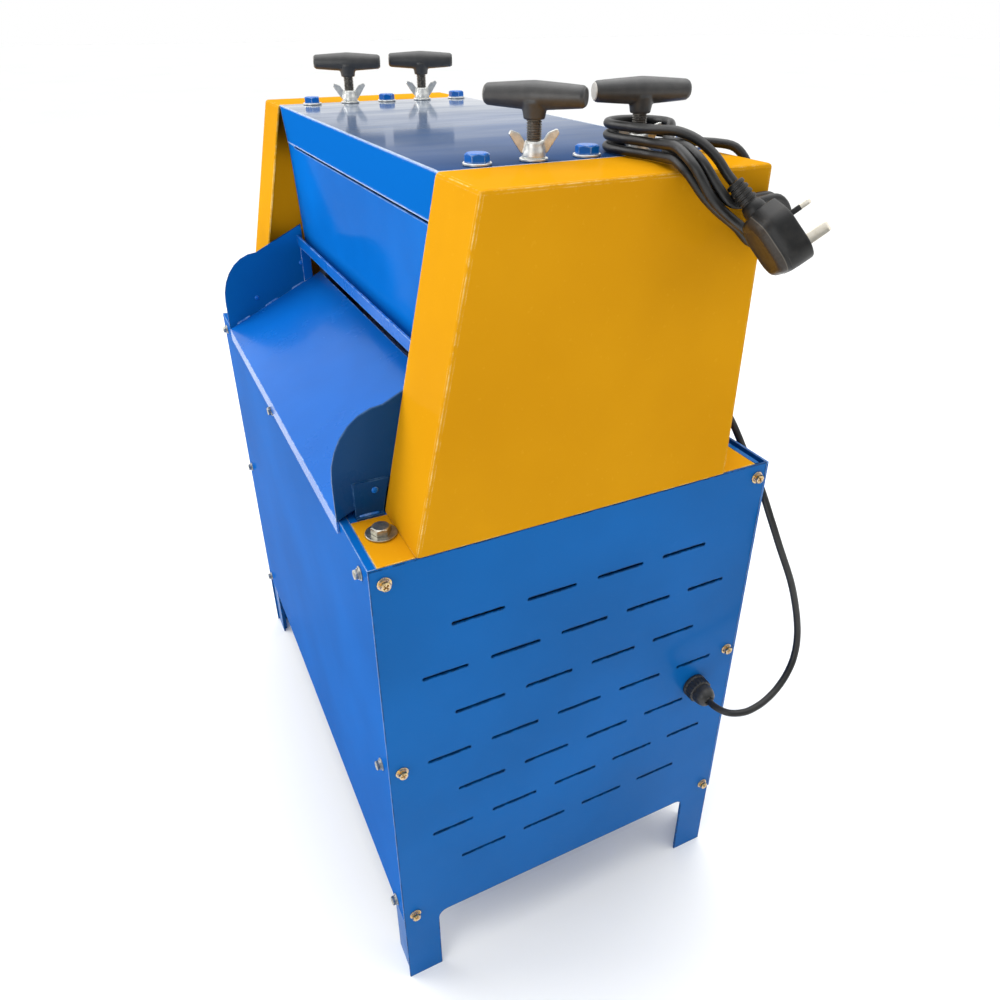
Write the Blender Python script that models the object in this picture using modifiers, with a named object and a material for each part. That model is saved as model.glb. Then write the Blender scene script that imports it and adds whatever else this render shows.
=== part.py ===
# Bench-height wire stripping machine: a sheet-metal cabinet on four legs, and on it a head with
# two pairs of rollers between bearing frames, under yellow side housings and a bolted top plate.
# Metres, +Z up. +X is the slotted side with the cable gland, -Y is the feed side with the tray.
# The origin is on the floor, under the middle of the cabinet.

import math

import bmesh
import bpy
from mathutils import Matrix, Vector

# Cabinet
CABINET_WIDTH = 0.676
CABINET_DEPTH = 0.396
CABINET_HEIGHT = 0.560
SHEET = 0.002
SEAT_GAP = 0.0003
RUNNING_GAP = 0.0005
CUT_OVERRUN = 0.004
WELD_LAP = 0.001
SHARP_ANGLE = math.radians(32)

LEG_WIDTH = 0.038
LEG_OPENING_HEIGHT = 0.095
LEG_CORNER_RADIUS = 0.010
PANEL_FLANGE = 0.040
FRONT_PANEL_BOTTOM = 0.100

SLOT_LENGTH = 0.0505
SLOT_WIDTH = 0.0034
SLOT_PITCH = 0.0723
SLOT_ROW_PITCH = 0.052
SLOT_TOP_INSET = 0.0756
SLOT_FIRST_INSET = 0.067
SLOT_FRONT_MARGIN = 0.0375
SLOT_REAR_MARGIN = 0.032
SLOT_ROWS = 7
SLOTS_IN_WHOLE_ROW = 4
SLOTS_IN_SHIFTED_ROW = 5
SLOT_TIP_SHARE = 0.6

POST_WIDTH = 0.032
POST_WALL = 0.004
RAIL_HEIGHT = 0.030
SHELF_TOP = 0.154
SHELF_THICKNESS = 0.004

BASE_PLATE_THICKNESS = 0.0095
BASE_PLATE_FRONT_INSET = 0.008
BASE_PLATE_REAR_INSET = 0.012
BASE_PLATE_SIDE_GAP = 0.001

# Head
HOUSING_THICKNESS = 0.078
HOUSING_OUTER_INSET = 0.0005
HOUSING_FRONT_INSET = 0.040
HOUSING_FRONT_LEAN = 0.060
HOUSING_REAR_PAST_FRAME = 0.0025
HOUSING_CORNER_RADIUS = 0.003
HEAD_HEIGHT = 0.274

FRAME_THICKNESS = 0.0277
FRAME_FRONT_REACH = 0.0597
FRAME_REAR_REACH = 0.0605
TOP_PLATE_THICKNESS = 0.003
TOP_FLANGE_DROP = 0.043
TOP_FRONT_OVERHANG = 0.0257
TOP_FLANGE_LEAN = 0.0042
TOP_REAR_FLANGE_DROP = 0.034

FRONT_AXIS_Y = -0.011
REAR_AXIS_Y = 0.085
LOWER_AXIS_RISE = 0.038
LOWER_ROLLER_RADIUS = 0.032
UPPER_ROLLER_RADIUS = 0.036
ROLLER_NIP = 0.005
JOURNAL_RADIUS = 0.0125
ROLLER_END_GAP = 0.004
BLADE_SHAFT_RADIUS = 0.016
BLADE_WIDTH = 0.012
BLADE_EDGE = 0.0015
BLADE_HUB_RADIUS = 0.026
BLADE_SPREAD = 0.115
CARRIAGE_DROP = 0.0045
CARRIAGE_LIFT = 0.040
BLOCK_WIDTH = 0.050
BLOCK_HEIGHT = 0.050
BLOCK_THICKNESS = 0.025
SOCKET_DEPTH = 0.010

SCREW_RADIUS = 0.006
SCREW_INSET = 0.0137
GRIP_AXIS_RISE = 0.046
GRIP_LENGTH = 0.080
GRIP_MIDDLE_RADIUS = 0.0104
GRIP_END_RADIUS = 0.0079
GRIP_RIM = 0.0026
BOSS_TOP_RADIUS = 0.0095
BOSS_BOTTOM_RADIUS = 0.0082
BOSS_DEPTH = 0.0165
GRIP_BORE_DEPTH = 0.014
FRONT_RIGHT_GRIP_YAW = math.radians(43)
FRONT_LEFT_GRIP_YAW = math.radians(64)
REAR_RIGHT_GRIP_YAW = math.radians(64)
REAR_LEFT_GRIP_YAW = math.radians(62)

WASHER_THICKNESS = 0.0018
WING_HUB_HEIGHT = 0.0125
WING_HUB_BOTTOM_RADIUS = 0.0090
WING_HUB_TOP_RADIUS = 0.0078
WING_REACH = 0.020
WING_TOP = 0.0205
WING_WIDTH = 0.0085
WING_THICKNESS = 0.0034
WING_YAW = math.radians(76)

TOP_BOLT_PITCH = 0.096
TOP_BOLT_HEAD_RADIUS = 0.0098
TOP_BOLT_HEAD_HEIGHT = 0.0068
TOP_BOLT_RADIUS = 0.005
TOP_BOLT_LENGTH = 0.018
TOP_WASHER_RADIUS = 0.0112
BASE_BOLT_GAP = 0.0128
BASE_BOLT_HEAD_RADIUS = 0.0086
BASE_BOLT_HEAD_HEIGHT = 0.0062
BASE_BOLT_RADIUS = 0.004
BASE_BOLT_LENGTH = 0.014
BASE_WASHER_RADIUS = 0.0135

HOOD_OVERHANG = 0.0213
HOOD_LEAN = 0.006
HOOD_BOTTOM_RISE = 0.107
HOOD_SLIT = 0.0024
HOOD_TAB = 0.030
HOOD_CORNER_RADIUS = 0.006
REAR_OUTLET_HEIGHT = 0.105

TRAY_FRONT_RISE = 0.003
TRAY_REAR_RISE = 0.0655
TRAY_LIP = 0.015
TRAY_REAR_LIP = 0.012
GUARD_REAR_GAP = 0.0035
GUARD_REAR_RISE = 0.1305
GUARD_KNEE_INSET = 0.046
GUARD_KNEE_RISE = 0.100
GUARD_NOSE_RISE = 0.039
GUARD_BRACKET_INSET = 0.014
GUARD_BRACKET_LENGTH = 0.024
GUARD_BRACKET_LEAN = 0.0075
GUARD_BRACKET_HEIGHT = 0.034
GUARD_BRACKET_FOOT = 0.005
BAR_DEPTH = 0.0255
BAR_RISE = 0.1165
BAR_HEIGHT = 0.013
BAR_WALL = 0.0022
BAR_POST_THICKNESS = 0.003
BAR_POST_DEPTH = 0.012

# Drive inside the cabinet and the left housing
DRIVE_AXIS_RISE = 0.081
CHAIN_INSET = 0.038
CHAIN_WIDTH = 0.007
CHAIN_HEIGHT = 0.006
SPROCKET_PITCH_RADIUS = 0.0245
SPROCKET_TEETH = 12
SPROCKET_TOOTH = 0.0028
SPROCKET_WIDTH = 0.006
TOOTH_FOOT_SHARE = 0.30
TOOTH_TIP_SHARE = 0.14
SHAFT_PAST_CHAIN = 0.020
SHAFT_PAST_FRAME = 0.0083
CHAIN_OPENING_MARGIN = 0.012
GEARBOX_LENGTH = 0.120
GEARBOX_TO_CHAIN = 0.030
GEARBOX_DEPTH = 0.124
GEARBOX_HEIGHT = 0.146
GEARBOX_EDGE = 0.005
DRIVE_SHAFT_SEAT = 0.045
MOTOR_LENGTH = 0.205
MOTOR_RADIUS = 0.060
MOTOR_STEP = 0.005
MOTOR_COWL_LENGTH = 0.050
MOTOR_FLANGE_LENGTH = 0.025
MOTOR_FOOT_WIDTH = 0.120
MOTOR_FOOT_LENGTH = 0.110
MOTOR_FOOT_HEIGHT = 0.026
TERMINAL_BOX = 0.070
TERMINAL_BOX_HEIGHT = 0.051
TERMINAL_BOX_RISE = 0.017

# Switch on the left side
SWITCH_DEPTH = 0.020
SWITCH_WIDTH = 0.058
SWITCH_HEIGHT = 0.086
SWITCH_FRONT_INSET = 0.088
SWITCH_TOP_INSET = 0.080
SWITCH_EDGE = 0.0025
BUTTON_RADIUS = 0.0100
BUTTON_PROUD = 0.0075
BUTTON_SEAT = 0.0080
BUTTON_TRAVEL = 0.004
BUTTON_PITCH = 0.040
BUTTON_RIM = 0.0019

# Supply cord, gland and plug
CORD_RADIUS = 0.0036
GLAND_REAR_INSET = 0.0492
GLAND_TOP_INSET = 0.2673
GLAND_REACH = 0.0277
GLAND_NUT_RADIUS = 0.0140
GLAND_NUT_LENGTH = 0.0135
GLAND_DOME_RADIUS = 0.0116
GLAND_TIP_RADIUS = 0.0062
GLAND_TIP_LENGTH = 0.006
GLAND_SHANK_RADIUS = 0.0097
GLAND_SHANK_LENGTH = 0.010
GLAND_LOCKNUT_LENGTH = 0.005

# The cord's route, point by point: out of the gland, round in a free loop, up the back and over
# the rear edge of the head to the hank on the rear right screw.
CORD_ROUTE = (
    (0.3813, 0.1507, 0.2931), (0.3915, 0.1590, 0.2940), (0.3965, 0.1745, 0.2950), (0.3955, 0.1980, 0.2985),
    (0.3910, 0.2210, 0.3080), (0.3840, 0.2405, 0.3250), (0.3770, 0.2480, 0.3530), (0.3680, 0.2360, 0.4140),
    (0.3560, 0.2170, 0.4680), (0.3450, 0.2090, 0.4980), (0.3260, 0.2065, 0.5260), (0.3050, 0.2062, 0.5440),
    (0.2880, 0.2050, 0.5630), (0.2810, 0.1950, 0.5850), (0.2800, 0.1780, 0.6060), (0.2840, 0.1660, 0.6330),
    (0.2930, 0.1600, 0.6800), (0.3000, 0.1585, 0.7400), (0.3030, 0.1585, 0.7900), (0.3030, 0.1582, 0.8150),
    (0.2998, 0.1560, 0.8270), (0.2935, 0.1513, 0.8370), (0.2845, 0.1448, 0.8418),
)
CORD_STEP = 0.0165
CORD_STEPS = 2
HANK_STEPS = 1
RELIEF_STEPS = 4
HANK_START = (0.2718, 0.1345, 0.8418)
HANK_TURNS = 2

# The line along the middle of the hank: from the screw, over the outer edge of the head and down its side.
HANK_SPINE = (
    (0.2460, 0.0850, 0.8385), (0.2770, 0.0775, 0.8385), (0.3050, 0.0695, 0.8390), (0.3270, 0.0635, 0.8413),
    (0.3430, 0.0615, 0.8390), (0.3510, 0.0665, 0.8305), (0.3520, 0.0790, 0.8180), (0.3480, 0.0960, 0.8072),
    (0.3440, 0.1180, 0.8005), (0.3422, 0.1400, 0.7930),
)
HANK_LAYER = 0.0088
HANK_RUN_SHARES = (0.11, 0.24, 0.38, 0.46, 0.54, 0.63, 0.73, 0.87)
HANK_WAIST = 0.0042
HANK_TOP_RADIUS = 0.0252
HANK_FOLD_RADIUS = 0.0180
HANK_TAPER = 0.058
HANK_FOLD_TAPER = 0.048
HANK_CLIMB_START = 0.014
HANK_CLIMB_END = 0.060
HANK_TURN_START = 0.075
HANK_TURN_END = 0.130
PLUG_TAIL = (
    (0.2710, 0.0655, 0.8560), (0.2965, 0.0660, 0.8575), (0.3170, 0.0715, 0.8580), (0.3335, 0.0780, 0.8530),
    (0.3465, 0.0845, 0.8430),
)

PLUG_CORD_END = (0.3588, 0.0925, 0.8274)
PLUG_MIDDLE = (0.3880, 0.1122, 0.7910)
PLUG_AHEAD = Vector((0.577, 0.353, -0.737))
PLUG_PINS_WAY = Vector((0.233, 0.793, 0.563))
PLUG_LENGTH = 0.050
PLUG_WIDTH = 0.049
PLUG_THICKNESS = 0.026
PLUG_NECK_WIDTH = 0.021
PLUG_SHOULDER = 0.013
PLUG_NOSE_CUT = 0.009
PLUG_EDGE = 0.003
RELIEF_START_RADIUS = 0.0052
RELIEF_END_RADIUS = 0.0085
PIN_SPACING = 0.02223
PIN_BACK = 0.009
LIVE_PIN_WIDTH = 0.00635
LIVE_PIN_LENGTH = 0.0177
EARTH_PIN_WIDTH = 0.008
EARTH_PIN_LENGTH = 0.0227
PIN_THICKNESS = 0.004

parts = bpy.data.collections.new("wire_stripping_machine")
cutters = bpy.data.collections.new("cutters")
cutters.hide_render = True


def start_scene():
    for old in list(bpy.data.objects):
        bpy.data.objects.remove(old)
    bpy.context.scene.collection.children.link(parts)
    bpy.context.scene.collection.children.link(cutters)


# Sizes worked out from the driving ones

SIDE_FACE = CABINET_WIDTH / 2
FRONT_FACE = -CABINET_DEPTH / 2
REAR_FACE = CABINET_DEPTH / 2
INNER_SIDE = SIDE_FACE - SHEET - SEAT_GAP
SLOT_TOP_ROW = CABINET_HEIGHT - SLOT_TOP_INSET
SLOT_FIRST_START = FRONT_FACE + SLOT_FIRST_INSET
SLOT_FIELD_FRONT = FRONT_FACE + SLOT_FRONT_MARGIN
SLOT_FIELD_REAR = REAR_FACE - SLOT_REAR_MARGIN
BASE_TOP = CABINET_HEIGHT - SEAT_GAP
BASE_BOTTOM = BASE_TOP - BASE_PLATE_THICKNESS

HOUSING_OUTER = SIDE_FACE - HOUSING_OUTER_INSET
HOUSING_INNER = SIDE_FACE - HOUSING_THICKNESS
SHELL_EDGE = HOUSING_INNER - SEAT_GAP
FRAME_OUTER = HOUSING_INNER - SEAT_GAP
FRAME_INNER = FRAME_OUTER - FRAME_THICKNESS
FRAME_FRONT = FRONT_AXIS_Y - FRAME_FRONT_REACH
FRAME_REAR = REAR_AXIS_Y + FRAME_REAR_REACH
FRAME_BOTTOM = BASE_TOP + SEAT_GAP
HEAD_TOP = CABINET_HEIGHT + HEAD_HEIGHT
FRAME_TOP = HEAD_TOP - TOP_PLATE_THICKNESS - SEAT_GAP
HOUSING_FRONT_BOTTOM = FRONT_FACE + HOUSING_FRONT_INSET
HOUSING_FRONT_TOP = HOUSING_FRONT_BOTTOM + HOUSING_FRONT_LEAN
HOUSING_REAR = FRAME_REAR + HOUSING_REAR_PAST_FRAME
TOP_FRONT = FRAME_FRONT - TOP_FRONT_OVERHANG
TOP_FLANGE_BOTTOM_FRONT = TOP_FRONT + TOP_FLANGE_LEAN
BASE_BOLT_X = SHELL_EDGE + GUARD_BRACKET_FOOT + BASE_BOLT_GAP + BASE_WASHER_RADIUS
BASE_BOLT_Y = HOUSING_FRONT_BOTTOM - BASE_WASHER_RADIUS

LOWER_AXIS_Z = CABINET_HEIGHT + LOWER_AXIS_RISE
UPPER_AXIS_Z = LOWER_AXIS_Z + LOWER_ROLLER_RADIUS + ROLLER_NIP + UPPER_ROLLER_RADIUS
BLOCK_TOP = UPPER_AXIS_Z + BLOCK_HEIGHT / 2
WINDOW_BOTTOM = UPPER_AXIS_Z - BLOCK_HEIGHT / 2 - CARRIAGE_DROP - RUNNING_GAP
WINDOW_TOP = UPPER_AXIS_Z + BLOCK_HEIGHT / 2 + CARRIAGE_LIFT + RUNNING_GAP
ROLLER_END = FRAME_INNER - ROLLER_END_GAP
SCREW_X = FRAME_OUTER - SCREW_INSET
GRIP_AXIS_Z = HEAD_TOP + GRIP_AXIS_RISE
BOSS_BOTTOM_Z = GRIP_AXIS_Z - BOSS_DEPTH

HOOD_TOP = HEAD_TOP - TOP_FLANGE_DROP - SEAT_GAP
HOOD_BOTTOM = CABINET_HEIGHT + HOOD_BOTTOM_RISE
HOOD_TOP_FRONT = FRAME_FRONT - HOOD_OVERHANG
HOOD_BOTTOM_FRONT = HOOD_TOP_FRONT + HOOD_LEAN
HOOD_EDGE = FRAME_OUTER - SHEET
REAR_OUTLET_TOP = CABINET_HEIGHT + REAR_OUTLET_HEIGHT
TRAY_FRONT_Y = FRONT_FACE - SHEET - SEAT_GAP
TRAY_FRONT_Z = CABINET_HEIGHT + TRAY_FRONT_RISE
TRAY_REAR_Y = FRAME_FRONT - SEAT_GAP
TRAY_REAR_Z = CABINET_HEIGHT + TRAY_REAR_RISE
TRAY_EDGE = SHELL_EDGE - SHEET - SEAT_GAP
GUARD_REAR_Y = HOOD_BOTTOM_FRONT - GUARD_REAR_GAP
GUARD_REAR_TOP = CABINET_HEIGHT + GUARD_REAR_RISE
GUARD_KNEE_Y = FRONT_FACE + GUARD_KNEE_INSET
GUARD_KNEE_TOP = CABINET_HEIGHT + GUARD_KNEE_RISE
GUARD_NOSE_BOTTOM = CABINET_HEIGHT + GUARD_NOSE_RISE
GUARD_BRACKET_FRONT = FRONT_FACE + GUARD_BRACKET_INSET
GUARD_BRACKET_REAR_FOOT = GUARD_BRACKET_FRONT + GUARD_BRACKET_LENGTH
GUARD_BRACKET_REAR_TOP = GUARD_BRACKET_REAR_FOOT + GUARD_BRACKET_LEAN
BAR_FRONT = FRAME_FRONT - SEAT_GAP - BAR_DEPTH
BAR_TOP = CABINET_HEIGHT + BAR_RISE
BAR_BOTTOM = BAR_TOP - BAR_HEIGHT

DRIVE_AXIS_Y = (FRONT_AXIS_Y + REAR_AXIS_Y) / 2
DRIVE_AXIS_Z = SHELF_TOP + DRIVE_AXIS_RISE
CHAIN_X = CHAIN_INSET - SIDE_FACE
SHAFT_END_LEFT = CHAIN_X - SHAFT_PAST_CHAIN
SHAFT_END_RIGHT = FRAME_OUTER + SHAFT_PAST_FRAME
GEARBOX_LEFT = CHAIN_X + GEARBOX_TO_CHAIN
GEARBOX_TOP = SHELF_TOP + GEARBOX_HEIGHT
SWITCH_Y = FRONT_FACE + SWITCH_FRONT_INSET
SWITCH_Z = CABINET_HEIGHT - SWITCH_TOP_INSET
GLAND_Y = REAR_FACE - GLAND_REAR_INSET
GLAND_Z = CABINET_HEIGHT - GLAND_TOP_INSET
GLAND_END = SIDE_FACE + GLAND_REACH


# Finishes

BLUE_PAINT = ((0.012, 0.130, 0.560), 0.25, 0.0)
YELLOW_PAINT = ((0.720, 0.300, 0.010), 0.28, 0.0)
BLACK_RUBBER = ((0.020, 0.020, 0.020), 0.55, 0.0)
BRIGHT_ZINC = ((0.620, 0.620, 0.600), 0.35, 1.0)
BLACK_STEEL = ((0.100, 0.095, 0.090), 0.45, 1.0)
GROUND_STEEL = ((0.450, 0.450, 0.450), 0.30, 1.0)
CAST_IRON = ((0.140, 0.150, 0.160), 0.60, 0.8)
GREY_PAINT = ((0.200, 0.230, 0.250), 0.45, 0.0)
BLACK_PLASTIC = ((0.018, 0.018, 0.018), 0.45, 0.0)
GREEN_PLASTIC = ((0.020, 0.320, 0.060), 0.35, 0.0)
RED_PLASTIC = ((0.550, 0.015, 0.010), 0.35, 0.0)


def finish(obj, look):
    # Every piece ends as one plain mesh, smooth where it curves, with its own material named for it.
    obj = solid_copy(obj)
    obj.data.shade_smooth()
    obj.data.set_sharp_from_angle(angle=SHARP_ANGLE)
    colour, roughness, metallic = look
    material = bpy.data.materials.new(obj.name + "_finish")
    material.use_nodes = True
    shader = material.node_tree.nodes["Principled BSDF"]
    shader.inputs["Base Color"].default_value = (*colour, 1.0)
    shader.inputs["Roughness"].default_value = roughness
    shader.inputs["Metallic"].default_value = metallic
    obj.data.materials.clear()
    obj.data.materials.append(material)
    return obj


# Shapes

ALONG_X = Matrix(((0, 0, 1, 0), (1, 0, 0, 0), (0, 1, 0, 0), (0, 0, 0, 1)))
ALONG_Y = Matrix(((1, 0, 0, 0), (0, 0, -1, 0), (0, 1, 0, 0), (0, 0, 0, 1)))
ALONG_Z = Matrix.Identity(4)


def added(name, data, turn, place):
    obj = bpy.data.objects.new(name, data)
    obj.matrix_basis = Matrix.Translation(place) @ turn
    parts.objects.link(obj)
    return obj


def from_bmesh(name, shape, turn=ALONG_Z, place=(0, 0, 0)):
    mesh = bpy.data.meshes.new(name)
    bmesh.ops.recalc_face_normals(shape, faces=shape.faces)
    shape.to_mesh(mesh)
    shape.free()
    return added(name, mesh, turn, place)


def box(name, across, deep, high):
    # A box from its lowest and highest X, Y and Z, with its origin at its middle.
    shape = bmesh.new()
    bmesh.ops.create_cube(shape, size=1)
    sides = (across[1] - across[0], deep[1] - deep[0], high[1] - high[0])
    bmesh.ops.scale(shape, vec=sides, verts=shape.verts)
    middle = (sum(across) / 2, sum(deep) / 2, sum(high) / 2)
    return from_bmesh(name, shape, place=middle)


def cylinder(name, turn, place, radius, length, sides=20, far_radius=None):
    # Runs from place for the length along the turned Z.
    shape = bmesh.new()
    bmesh.ops.create_cone(
        shape, cap_ends=True, segments=sides, radius1=radius,
        radius2=radius if far_radius is None else far_radius, depth=length,
    )
    bmesh.ops.translate(shape, vec=(0, 0, length / 2), verts=shape.verts)
    return from_bmesh(name, shape, turn, place)


def sheet(name, loops, turn, place, thickness):
    # A flat outline, with any further loops as holes, that runs from place for the thickness.
    curve = bpy.data.curves.new(name, "CURVE")
    curve.dimensions = "2D"
    curve.fill_mode = "BOTH"
    curve.extrude = thickness / 2
    for loop in loops:
        spline = curve.splines.new("POLY")
        spline.points.add(len(loop) - 1)
        spline.use_cyclic_u = True
        for point, (u, v) in zip(spline.points, loop):
            point.co = (u, v, 0, 1)
    guide = bpy.data.objects.new(name, curve)
    parts.objects.link(guide)
    graph = bpy.context.evaluated_depsgraph_get()
    mesh = bpy.data.meshes.new_from_object(guide.evaluated_get(graph))
    shape = bmesh.new()
    shape.from_mesh(mesh)
    bmesh.ops.remove_doubles(shape, verts=shape.verts, dist=SEAT_GAP / 30)
    bmesh.ops.translate(shape, vec=(0, 0, thickness / 2), verts=shape.verts)
    bpy.data.objects.remove(guide)
    bpy.data.meshes.remove(mesh)
    return from_bmesh(name, shape, turn, place)


def turned(name, profile, turn, place, steps=20, ring=False):
    # A profile of (radius, height) down the outer side, spun round the turned Z.
    mesh = bpy.data.meshes.new(name)
    edges = [(i, i + 1) for i in range(len(profile) - 1)]
    if ring:
        edges.append((len(profile) - 1, 0))
    mesh.from_pydata([(radius, 0, height) for radius, height in profile], edges, [])
    obj = added(name, mesh, turn, place)
    spin = obj.modifiers.new("spin", "SCREW")
    spin.steps = steps
    spin.render_steps = steps
    spin.use_merge_vertices = True
    spin.merge_threshold = SEAT_GAP / 30
    spin.use_smooth_shade = False
    return obj


def solid_copy(obj):
    # The evaluated shape as a plain mesh object under the same name.
    bpy.context.view_layer.update()
    graph = bpy.context.evaluated_depsgraph_get()
    mesh = bpy.data.meshes.new_from_object(obj.evaluated_get(graph))
    name = obj.name
    basis = obj.matrix_basis.copy()
    bpy.data.objects.remove(obj)
    shape = bmesh.new()
    shape.from_mesh(mesh)
    bmesh.ops.remove_doubles(shape, verts=shape.verts, dist=SEAT_GAP / 30)
    bpy.data.meshes.remove(mesh)
    return from_bmesh(name, shape, basis)


def combined(obj, operation, tools):
    for number, tool in enumerate(tools):
        parts.objects.unlink(tool)
        cutters.objects.link(tool)
        tool.hide_render = True
        tool.display_type = "WIRE"
        tool.name = f"{obj.name}_{operation.lower()}_{number + 1}"
        step = obj.modifiers.new(tool.name, "BOOLEAN")
        step.operation = operation
        step.solver = "EXACT"
        step.object = tool
    return obj


def cut(obj, *tools):
    return combined(obj, "DIFFERENCE", tools)


def joined(obj, *tools):
    return combined(obj, "UNION", tools)


def bevelled(obj, width, segments=2):
    bevel = obj.modifiers.new("rounded_edges", "BEVEL")
    bevel.width = width
    bevel.segments = segments
    bevel.limit_method = "ANGLE"
    bevel.angle_limit = math.radians(40)
    return obj


def rounded(corners, radii, steps=4):
    # A closed outline whose corners take arcs of the radii, zero for a sharp one.
    points = []
    for i, corner in enumerate(corners):
        here = Vector(corner)
        back = (Vector(corners[i - 1]) - here).normalized()
        ahead = (Vector(corners[(i + 1) % len(corners)]) - here).normalized()
        radius = radii[i]
        if radius == 0:
            points.append(tuple(here))
            continue
        half = back.angle(ahead) / 2
        centre = here + (back + ahead).normalized() * (radius / math.sin(half))
        first = here + back * (radius / math.tan(half)) - centre
        turn = math.pi - 2 * half
        side = 1 if back.x * ahead.y - back.y * ahead.x < 0 else -1
        for step in range(steps + 1):
            angle = side * turn * step / steps
            c, s = math.cos(angle), math.sin(angle)
            points.append((centre.x + first.x * c - first.y * s, centre.y + first.x * s + first.y * c))
    return points


def circle(u, v, radius, sides=16):
    step = 2 * math.pi / sides
    return [(u + radius * math.cos(i * step), v + radius * math.sin(i * step)) for i in range(sides)]


def rectangle(low, high):
    return [(low[0], low[1]), (high[0], low[1]), (high[0], high[1]), (low[0], high[1])]


def carried_by(empty, *pieces):
    # Hangs pieces on their joint's empty where they lie.
    for piece in pieces:
        piece.parent = empty
        piece.matrix_parent_inverse = empty.matrix_basis.inverted()


def joint_empty(name, place):
    empty = bpy.data.objects.new(name, None)
    empty.location = place
    empty.empty_display_size = GRIP_LENGTH / 2
    parts.objects.link(empty)
    return empty


# Cabinet

def slot(start, end, z):
    # A slot with pointed-round ends.
    half = SLOT_WIDTH / 2
    inset = half * SLOT_TIP_SHARE
    return [
        (start, z), (start + inset, z - half), (end - inset, z - half),
        (end, z), (end - inset, z + half), (start + inset, z + half),
    ]


def slot_field():
    found = []
    for row in range(SLOT_ROWS):
        z = SLOT_TOP_ROW - row * SLOT_ROW_PITCH
        if z < LEG_OPENING_HEIGHT + SLOT_ROW_PITCH / 2:
            break
        shift = SLOT_PITCH / 2 if row % 2 else 0
        for place in range(SLOTS_IN_SHIFTED_ROW if row % 2 else SLOTS_IN_WHOLE_ROW):
            start = SLOT_FIRST_START - shift + place * SLOT_PITCH
            start, end = max(start, SLOT_FIELD_FRONT), min(start + SLOT_LENGTH, SLOT_FIELD_REAR)
            if end - start > SLOT_WIDTH:
                found.append(slot(start, end, z))
    return found


def side_panel(name, side, holes):
    # One sheet that also makes the legs: a web, and a flange folded in at its front and rear.
    foot = LEG_WIDTH
    corners = [
        (FRONT_FACE, 0), (FRONT_FACE + foot, 0), (FRONT_FACE + foot, LEG_OPENING_HEIGHT),
        (REAR_FACE - foot, LEG_OPENING_HEIGHT), (REAR_FACE - foot, 0), (REAR_FACE, 0),
        (REAR_FACE, CABINET_HEIGHT), (FRONT_FACE, CABINET_HEIGHT),
    ]
    web = rounded(corners, [0, 0, LEG_CORNER_RADIUS, LEG_CORNER_RADIUS, 0, 0, 0, 0])
    low = SIDE_FACE - SHEET if side > 0 else -SIDE_FACE
    panel = sheet(name, [web], ALONG_X, (low, 0, 0), SHEET)
    inner = sorted((side * (SIDE_FACE - PANEL_FLANGE), side * (SIDE_FACE - SHEET / 2)))
    high = (0, BASE_BOTTOM - SEAT_GAP)
    front = FRONT_FACE + SHEET + SEAT_GAP
    fold_front = box("fold", inner, (front, front + SHEET), high)
    fold_rear = box("fold", inner, (REAR_FACE - SHEET, REAR_FACE), high)
    joined(panel, fold_front, fold_rear)
    punch = sheet("slots", holes, ALONG_X, (low - SHEET, 0, 0), 3 * SHEET)
    return finish(cut(panel, punch), BLUE_PAINT)


def cabinet_panels():
    gland_hole = circle(GLAND_Y, GLAND_Z, GLAND_SHANK_RADIUS + SEAT_GAP)
    side_panel("right_side_panel", 1, [*slot_field(), gland_hole])
    side_panel("left_side_panel", -1, slot_field())
    # The front panel's top edge is folded in up to the base plate.
    front, back = FRONT_FACE, FRONT_FACE + SHEET
    fold = FRONT_FACE + BASE_PLATE_FRONT_INSET - SEAT_GAP
    profile = [
        (front, FRONT_PANEL_BOTTOM), (back, FRONT_PANEL_BOTTOM), (back, CABINET_HEIGHT - SHEET),
        (fold, CABINET_HEIGHT - SHEET), (fold, CABINET_HEIGHT), (front, CABINET_HEIGHT),
    ]
    front = sheet("front_panel", [profile], ALONG_X, (-INNER_SIDE, 0, 0), 2 * INNER_SIDE)
    high = (FRONT_PANEL_BOTTOM, CABINET_HEIGHT)
    rear_low = REAR_FACE + SEAT_GAP
    rear = box("rear_panel", (-SIDE_FACE, SIDE_FACE), (rear_low, rear_low + SHEET), high)
    finish(front, BLUE_PAINT)
    finish(rear, BLUE_PAINT)


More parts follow.
